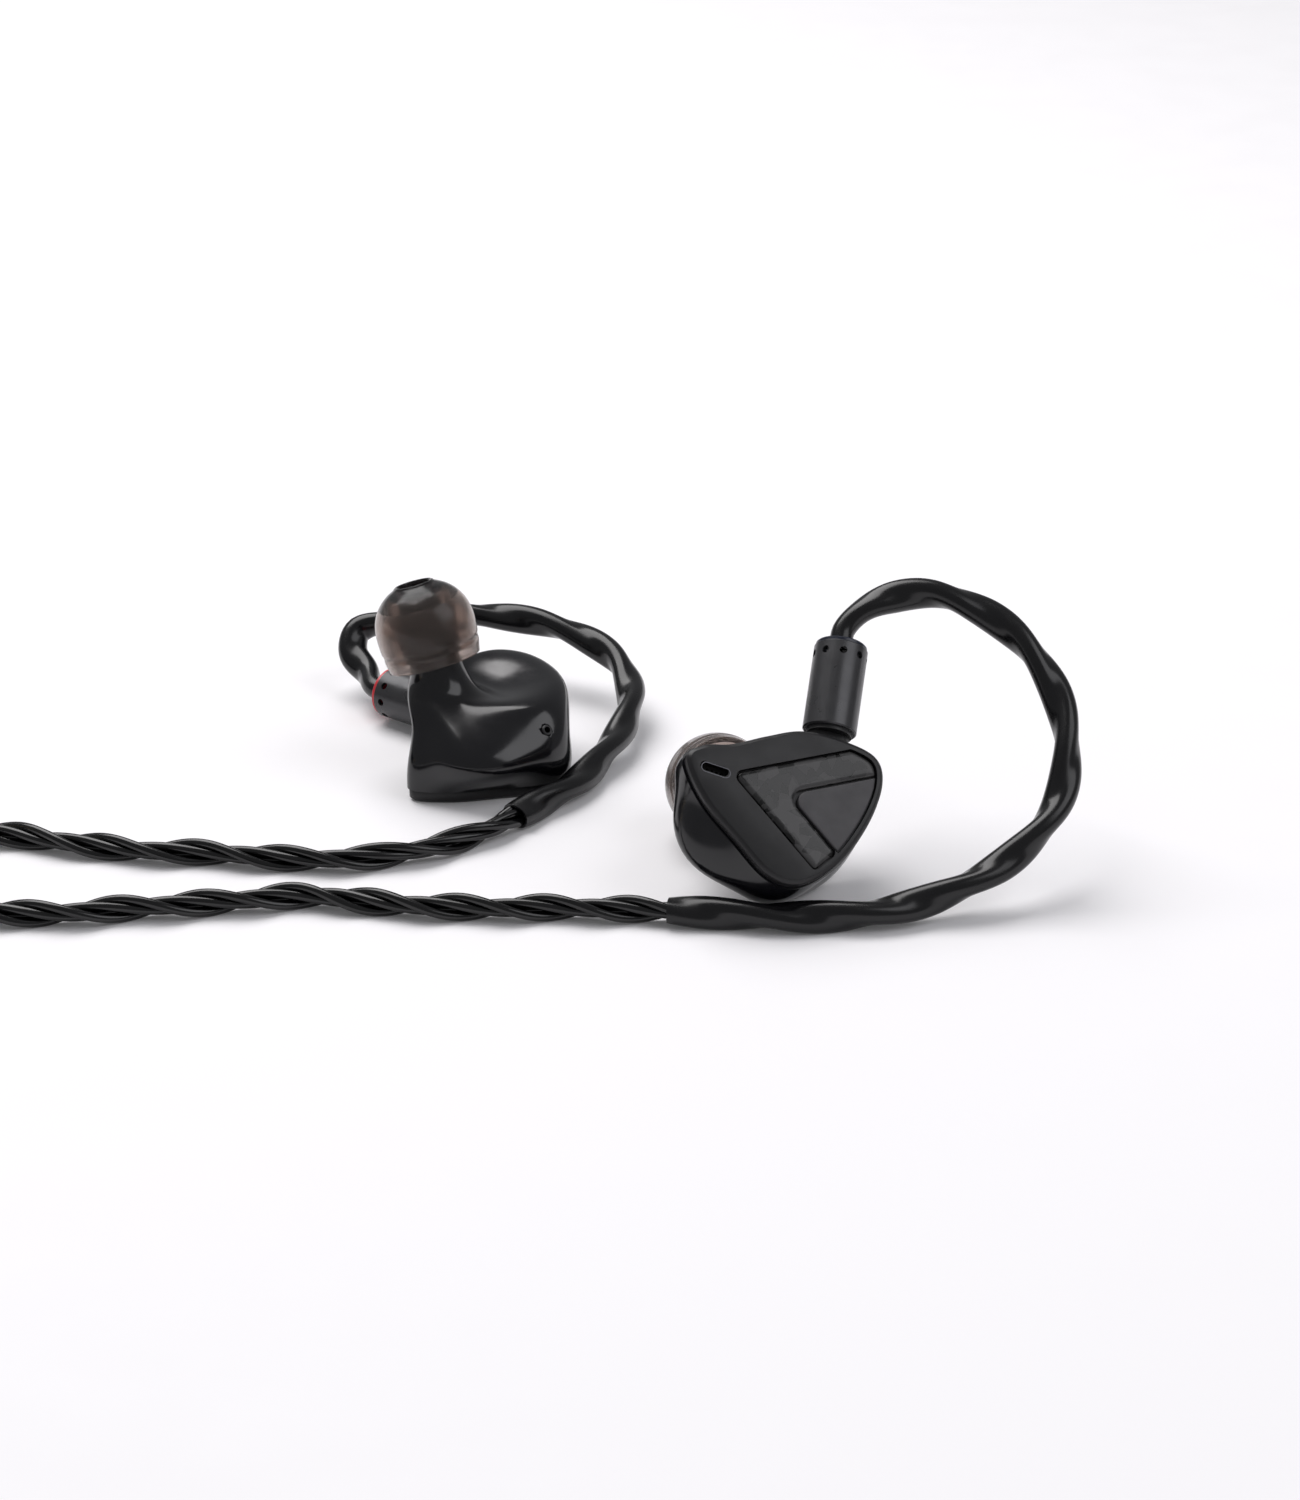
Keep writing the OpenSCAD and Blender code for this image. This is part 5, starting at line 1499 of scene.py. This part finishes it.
for side in PLACES:
    barrel_axis = world_axis(side, (0, 1, 0))
    nozzle_axis = world_axis(side, LEAN)
    anodised = ringed(f"{side}_anodised_barrel", (0.05, 0.05, 0.053), 0.3, barrel_axis, Metallic=0.45)
    dress(anodised, f"{side}_barrel")
    dark_metal = ringed(f"{side}_dark_nozzle", (0.05, 0.05, 0.052), 0.3, nozzle_axis, Metallic=0.8)
    dress(dark_metal, f"{side}_nozzle")
print("turned metal on barrels and nozzles")

# %% [markdown]
# ## Plastic, rings and contacts
# The sockets and inserts are moulded plastic, the channel rings are dyed, the contacts and
# pins are gold-plated, and the screens and eyelets are dark and satin. They differ in colour,
# gloss and grain but are made alike, so one helper takes those as values.

# %% Finish: plastic, rings and contacts
DARKER, LIGHTER = 0.88, 1.12
MOULDED_SMOOTH, MOULDED_ROUGH = 0.88, 1.15


def moulded(name, color, roughness, grain=4500, height=0.000006, **sockets):
    """Moulded plastic or rubber with a fine grain."""
    finish = new_finish(name, color, roughness, **sockets)
    dark, light = (tuple(c * share for c in color) for share in (DARKER, LIGHTER))
    mottle(finish, noise(finish, scale=800, detail=3), dark, light)
    uneven_gloss(finish, noise(finish, scale=600, detail=3),
                 low=roughness * MOULDED_SMOOTH, high=roughness * MOULDED_ROUGH)
    bumps(finish, noise(finish, scale=grain, detail=2), height, strength=0.5)
    return finish


socket_black = moulded("moulded_black", (0.014, 0.014, 0.015), 0.5)
gold = moulded("gold_plate", (0.83, 0.6, 0.27), 0.22, grain=2500, height=0.000002, Metallic=1.0)
screen_dark = moulded("screen_dark", (0.012, 0.012, 0.013), 0.45, grain=2500, height=0.000002,
                      Metallic=0.3)
dress(moulded("red_ring", (0.62, 0.028, 0.04), 0.3, grain=3000, height=0.000003), "right_channel_ring")
dress(moulded("navy_ring", (0.006, 0.009, 0.022), 0.3, grain=3000, height=0.000003), "left_channel_ring")
for side in PLACES:
    dress(socket_black, f"{side}_socket", f"{side}_connector_insert")
    dress(gold, f"{side}_socket_contacts", f"{side}_pins")
    dress(screen_dark, f"{side}_vent_screen", f"{side}_nozzle_mesh", f"{side}_port_eyelet")
print("rings, sockets, contacts and screens")

# %% [markdown]
# ## The parts inside
# Each shell holds a crossover board, a dynamic driver with its magnet and diaphragm, two
# small armature drivers and the tubes that lead their sound to the nozzle. They aren't seen,
# but they are part of the set, so they are finished as well.

# %% Finish: the parts inside
board_green = moulded("solder_mask", (0.03, 0.14, 0.07), 0.35, grain=3000, height=0.000004,
                      Coat_Weight=0.4)
driver_steel = moulded("drawn_steel", (0.58, 0.58, 0.6), 0.28, grain=2000, height=0.000003,
                       Metallic=1.0)
magnet_plate = moulded("magnet_plate", (0.3, 0.3, 0.31), 0.35, grain=2500, height=0.000004,
                       Metallic=1.0)
film = moulded("diaphragm_film", (0.5, 0.45, 0.33), 0.3, grain=1500, height=0.00001)
clear_tube = moulded("clear_tube", (0.85, 0.85, 0.87), 0.15, grain=900, height=0.00001,
                     Transmission_Weight=0.85)
for side in PLACES:
    dress(board_green, f"{side}_circuit_board")
    dress(driver_steel, f"{side}_driver_can", f"{side}_driver_cover", f"{side}_armatures")
    dress(magnet_plate, f"{side}_driver_magnet")
    dress(film, f"{side}_diaphragm")
    dress(clear_tube, f"{side}_sound_tubes")
print("board, drivers, diaphragm and tubes")

# %% [markdown]
# ## Slider, splitter, tie and plug
# The slider and the strain relief are soft rubber, the splitter is moulded, and its nut and
# the plug's handle are turned metal. The strap is hook-and-loop, whose fuzz is too fine to
# build, so two strong layers of bumps and some sheen stand for it.

# %% Finish: slider, splitter, tie and plug
soft_black = moulded("soft_black", (0.016, 0.016, 0.017), 0.6, grain=3500, height=0.00001,
                     Sheen_Weight=0.15)
satin_black = moulded("satin_black", (0.02, 0.02, 0.022), 0.4, grain=5000, height=0.000005)
dress(soft_black, "chin_slider", "plug_relief")
dress(satin_black, "splitter")
dress(ringed("turned_nut", (0.45, 0.45, 0.47), 0.3, (1, 0, 0), Metallic=1.0), "splitter_nut")
dress(ringed("turned_handle", (0.03, 0.03, 0.032), 0.34, (0, 1, 0), Metallic=0.5), "plug_handle")
dress(gold, "plug_contacts")
dress(socket_black, "plug_rings")
strap = moulded("hook_and_loop", (0.022, 0.022, 0.023), 0.85, grain=2600, height=0.00012,
                Sheen_Weight=0.6, Sheen_Roughness=0.5)
bumps(strap, noise(strap, scale=1500, detail=2), height=0.00015, strength=0.6)
dress(strap, "cable_tie")
print("slider, splitter, tie and plug")

# %% [markdown]
# ## Floor
# The set lies on a white table. The table's white comes from its colour, with a little glow
# for camera, glossy and transmission rays, so that it reads as the photograph's white and
# still holds the shadows. A stronger glow would wash the shadows out.

# %% Floor
FLOOR_SIZE = 6.0
FLOOR_GLOW = 0.04
floor_mesh = bpy.data.meshes.new("table")
half = FLOOR_SIZE / 2
floor_corners = [(x * half, y * half, 0) for x, y in ((-1, -1), (1, -1), (1, 1), (-1, 1))]
floor_mesh.from_pydata(floor_corners, [], [(0, 1, 2, 3)])
floor = bpy.data.objects.new("table", floor_mesh)
bpy.context.scene.collection.objects.link(floor)
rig.stage(floor)
table_white = new_finish("white_table", (0.93, 0.92, 0.94), 0.7)
uneven_gloss(table_white, noise(table_white, scale=90, detail=3), low=0.65, high=0.78)
seen = add(table_white, "ShaderNodeLightPath")
shown = add(table_white, "ShaderNodeMath", operation="ADD", use_clamp=True)
more = add(table_white, "ShaderNodeMath", operation="ADD", use_clamp=True)
glow = add(table_white, "ShaderNodeMath", operation="MULTIPLY")
glow.inputs[1].default_value = FLOOR_GLOW
link(table_white, seen.outputs["Is Camera Ray"], shown.inputs[0])
link(table_white, seen.outputs["Is Glossy Ray"], shown.inputs[1])
link(table_white, shown.outputs["Value"], more.inputs[0])
link(table_white, seen.outputs["Is Transmission Ray"], more.inputs[1])
link(table_white, more.outputs["Value"], glow.inputs[0])
link(table_white, glow.outputs["Value"], shader_of(table_white).inputs["Emission Strength"])
shader_of(table_white).inputs["Emission Color"].default_value = (1, 1, 1, 1)
wear(floor, table_white)
print("table:", FLOOR_SIZE, "m")

# %% [markdown]
# ## Light and background
# The light is soft studio light from the upper left and behind. A big softbox makes the long
# soft highlights and the grey-lavender shadows, a smaller one fills from the right, and the
# world lifts the rest. The camera sees the world brighter than it lights the set, so that the
# background stays white without flattening the shadows.

# %% World and softboxes
WORLD_LEVEL, SEEN_LEVEL = 0.27, 1.0
WORLD_COLOR = (0.97, 0.975, 1.0)


def softbox(name, at, aim, size, power, color):
    """An area light at a point, turned towards another."""
    data = bpy.data.lights.new(name, "AREA")
    data.shape, data.size, data.energy, data.color = "SQUARE", size, power, color
    lamp = bpy.data.objects.new(name, data)
    lamp.location = at
    lamp.rotation_euler = (Vector(aim) - Vector(at)).to_track_quat("-Z", "Y").to_euler()
    bpy.context.scene.collection.objects.link(lamp)
    return lamp


world = bpy.data.worlds.new("studio")
bpy.context.scene.world = world
world.use_nodes = True
paths = world.node_tree.nodes.new("ShaderNodeLightPath")
strength = world.node_tree.nodes.new("ShaderNodeMapRange")
strength.inputs["To Min"].default_value = WORLD_LEVEL
strength.inputs["To Max"].default_value = SEEN_LEVEL
background = world.node_tree.nodes["Background"]
background.inputs["Color"].default_value = (*WORLD_COLOR, 1)
world.node_tree.links.new(paths.outputs["Is Camera Ray"], strength.inputs["Value"])
world.node_tree.links.new(strength.outputs["Result"], background.inputs["Strength"])
softbox("key_softbox", at=(-0.28, 0.32, 0.74), aim=(-0.02, 0.03, 0.0), size=0.66, power=6.6,
        color=(1.0, 0.985, 0.985))
softbox("fill_softbox", at=(0.5, -0.2, 0.55), aim=(0.0, 0.0, 0.0), size=0.5, power=1.45,
        color=(0.97, 0.97, 1.0))
bpy.context.scene.view_settings.view_transform = "Standard"
print("softboxes:", [o.name for o in bpy.context.scene.objects if o.type == "LIGHT"])

# %% [markdown]
# ## Image points
# These are the only pixel places in this lesson. Each is an edge of a piece, or the middle of
# a small one, in an image of the photograph's size, with y counted from the top. Where the CAD
# puts a piece a few pixels from where the photograph has it, the point says where it shows.
# A line of sight runs from the camera through such a point, and where it meets the finished
# pieces is the place in the scene.

# %% Image points
IMAGE_W, IMAGE_H = 1300, 1500
EDGES = {
    "set_left": ("right_ear_hook", "x", min, 338),
    "set_right": ("left_ear_hook", "x", max, 1082),
    "set_top": ("left_ear_hook", "y", min, 578),
    "set_bottom": ("left_ear_hook", "y", max, 934),
    "near_barrel_left": ("left_barrel", "x", min, 802),
    "near_barrel_right": ("left_barrel", "x", max, 870),
    "far_tip_left": ("right_silicone_tip", "x", min, 375),
    "far_tip_right": ("right_silicone_tip", "x", max, 480),
    "far_tip_top": ("right_silicone_tip", "y", min, 577),
    "near_tip_left": ("left_silicone_tip", "x", min, 665),
    "near_tip_top": ("left_silicone_tip", "y", min, 732),
    "near_shell_bottom": ("left_resin_shell", "y", max, 903),
    "near_faceplate_right": ("left_face_plate", "x", max, 883),
    "near_inlay_left": ("left_carbon_inlay", "x", min, 737),
    "near_inlay_bottom": ("left_carbon_inlay", "y", max, 868),
    "far_shell_right": ("right_resin_shell", "x", max, 572),
}
MIDDLES = {
    "near_vent": ("left_vent_rim", (716, 770)),
    "far_port": ("right_port_eyelet", (547, 730)),
}
print(len(EDGES), "edges and", len(MIDDLES), "middles")

# %% [markdown]
# ## Lines of sight
# A camera is a point and a flat image, so an image point is a direction from the camera, and a
# place in the scene shows where the line to the camera crosses the image. The focal length in
# pixels joins the two.

# %% Lines of sight
FOCAL = max(IMAGE_W, IMAGE_H) * camera_data.lens / camera_data.sensor_width


def line_of_sight(x, y):
    """The camera's place, and the direction in which it sees an image point."""
    longest = max(IMAGE_W, IMAGE_H)
    aim = Vector((x - IMAGE_W / 2 + camera_data.shift_x * longest,
                  IMAGE_H / 2 - y + camera_data.shift_y * longest, -FOCAL))
    return camera.matrix_world.translation, (camera.matrix_world.to_3x3() @ aim).normalized()


def shown_at(point):
    """The image point at which a place in the scene shows."""
    x, y, z = camera.matrix_world.inverted() @ Vector(point)
    longest = max(IMAGE_W, IMAGE_H)
    return (IMAGE_W / 2 - camera_data.shift_x * longest - FOCAL * x / z,
            IMAGE_H / 2 + camera_data.shift_y * longest + FOCAL * y / z)


def seen_place(carrier, x, y):
    """Where the line of sight through an image point meets a piece, or the place nearest it."""
    start, direction = line_of_sight(x, y)
    tree = BVHTree.FromObject(carrier, bpy.context.evaluated_depsgraph_get())
    place = tree.ray_cast(start, direction)[0]
    if place is None:
        corners = [v.co for v in carrier.data.vertices]
        near = min(corners, key=lambda c: (c - start).cross(direction).length)
        place = tree.find_nearest(start + direction * (near - start).dot(direction))[0]
    return place, direction


print("vent's line of sight:", [round(c, 3) for c in line_of_sight(*MIDDLES["near_vent"][1])[1]])

# %% [markdown]
# ## Vent rims
# A thin steel lip frames the vent's slot and catches the light. On the near faceplate it is
# set where its image point's line of sight meets the screen, moved back along that line to the
# face. The far one has it in the same place of its own frame.

# %% Vent rims
RIM_LIP, RIM_GAP = 0.06, 0.03
RIM_RISE, RIM_DEPTH = 0.03, 0.3


def vent_rim(side, middle):
    """The thin bright lip of a vent, round its slot in the faceplate's face."""
    outer = stadium(VENT_L + 2 * RIM_LIP, VENT_W + 2 * RIM_LIP)
    inner = stadium(VENT_L - 2 * RIM_GAP, VENT_W - 2 * RIM_GAP)
    profile = ((outer, -RIM_RISE), (outer, RIM_DEPTH), (inner, RIM_DEPTH), (inner, -RIM_RISE))
    rings = [np.column_stack([line, np.full(len(line), z)]) for line, z in profile]
    piece = skinned(f"{side}_vent_rim", [np.array(rings)], looped=True)
    piece.data.transform(Matrix.Translation((*middle, 0)) @ turned("Z", VENT_TURN))
    place_piece(piece, side)
    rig.ride(piece, "root")
    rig.slot(piece, "screen_metal")
    wear(piece, rim_steel)
    return piece


rim_steel = moulded("rim_steel", (0.1, 0.1, 0.11), 0.35, grain=2500, height=0.000002, Metallic=1.0)
bpy.context.view_layer.update()
screen_place, sight = seen_place(frame["nodes"]["left_vent_screen"], *MIDDLES["near_vent"][1])
own = PLACES["left"].inverted() @ (screen_place / MM)
own_sight = PLACES["left"].to_3x3().inverted() @ sight
face_place = own - own_sight * (own.z / own_sight.z)
vent_rims = {side: vent_rim(side, face_place.xy) for side in PLACES}
print([rim.name for rim in vent_rims.values()], "middle", [round(c, 2) for c in face_place.xy],
      "slot's middle", VENT_AT)

# %% [markdown]
# ## Measuring the picture
# A finished scene can be checked without looking at it: each vertex is projected into the
# image, the ones that another piece hides are left out, and the outermost of the rest is where
# the edge shows. Bounding boxes would be quicker but say where a box ends, not the piece.

# %% How far each thing shows from its point
SIGHT_SLACK = 0.3 * MM
bpy.context.view_layer.update()


def in_sight(point):
    """Whether nothing hides this place from the camera."""
    start = camera.matrix_world.translation
    way_there = Vector(point) - start
    graph = bpy.context.evaluated_depsgraph_get()
    return not bpy.context.scene.ray_cast(graph, start, way_there.normalized(),
                                          distance=way_there.length - SIGHT_SLACK)[0]


def finished_points(name):
    """The image points and places of a finished piece's vertices."""
    piece = bpy.data.objects.get(name) or frame["nodes"][name]
    finished = piece.evaluated_get(bpy.context.evaluated_depsgraph_get())
    mesh = finished.to_mesh()
    points = [(*shown_at(v.co), v.co.copy()) for v in mesh.vertices]
    finished.to_mesh_clear()
    return points


def seen_edge(name, axis, end):
    """The x or y of the outermost vertex of a piece that shows."""
    k = "xy".index(axis)
    for point in sorted(finished_points(name), key=lambda p: p[k], reverse=end is max):
        if in_sight(point[2]):
            return point[k]
    return None


def seen_middle(name):
    """The middle of what shows of a small piece."""
    seen = [p for p in finished_points(name) if in_sight(p[2])]
    if not seen:
        return None
    return [(min(p[k] for p in seen) + max(p[k] for p in seen)) / 2 for k in (0, 1)]


differences = {}
for name, (piece_name, axis, end, value) in EDGES.items():
    seen = seen_edge(piece_name, axis, end)
    differences[name] = {axis: None if seen is None else round(seen - value, 1)}
for name, (piece_name, (x, y)) in MIDDLES.items():
    seen = seen_middle(piece_name)
    differences[name] = None if seen is None else {"x": round(seen[0] - x, 1), "y": round(seen[1] - y, 1)}
with open("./points.json", "w") as out:
    json.dump(differences, out, indent=1)
print(differences)

# %% [markdown]
# ## Sizes
# Last, the dressed set is measured beside the CAD's box, so that a piece that has grown or
# slipped would show in the numbers.

# %% Sizes and finish
bpy.context.view_layer.update()
with open("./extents.json", "w") as out:
    json.dump({"cad": [list(map(float, corner)) for corner in cad_box],
               "visual": [list(map(float, corner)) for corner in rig.bounds()]}, out)
print(open("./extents.json").read())
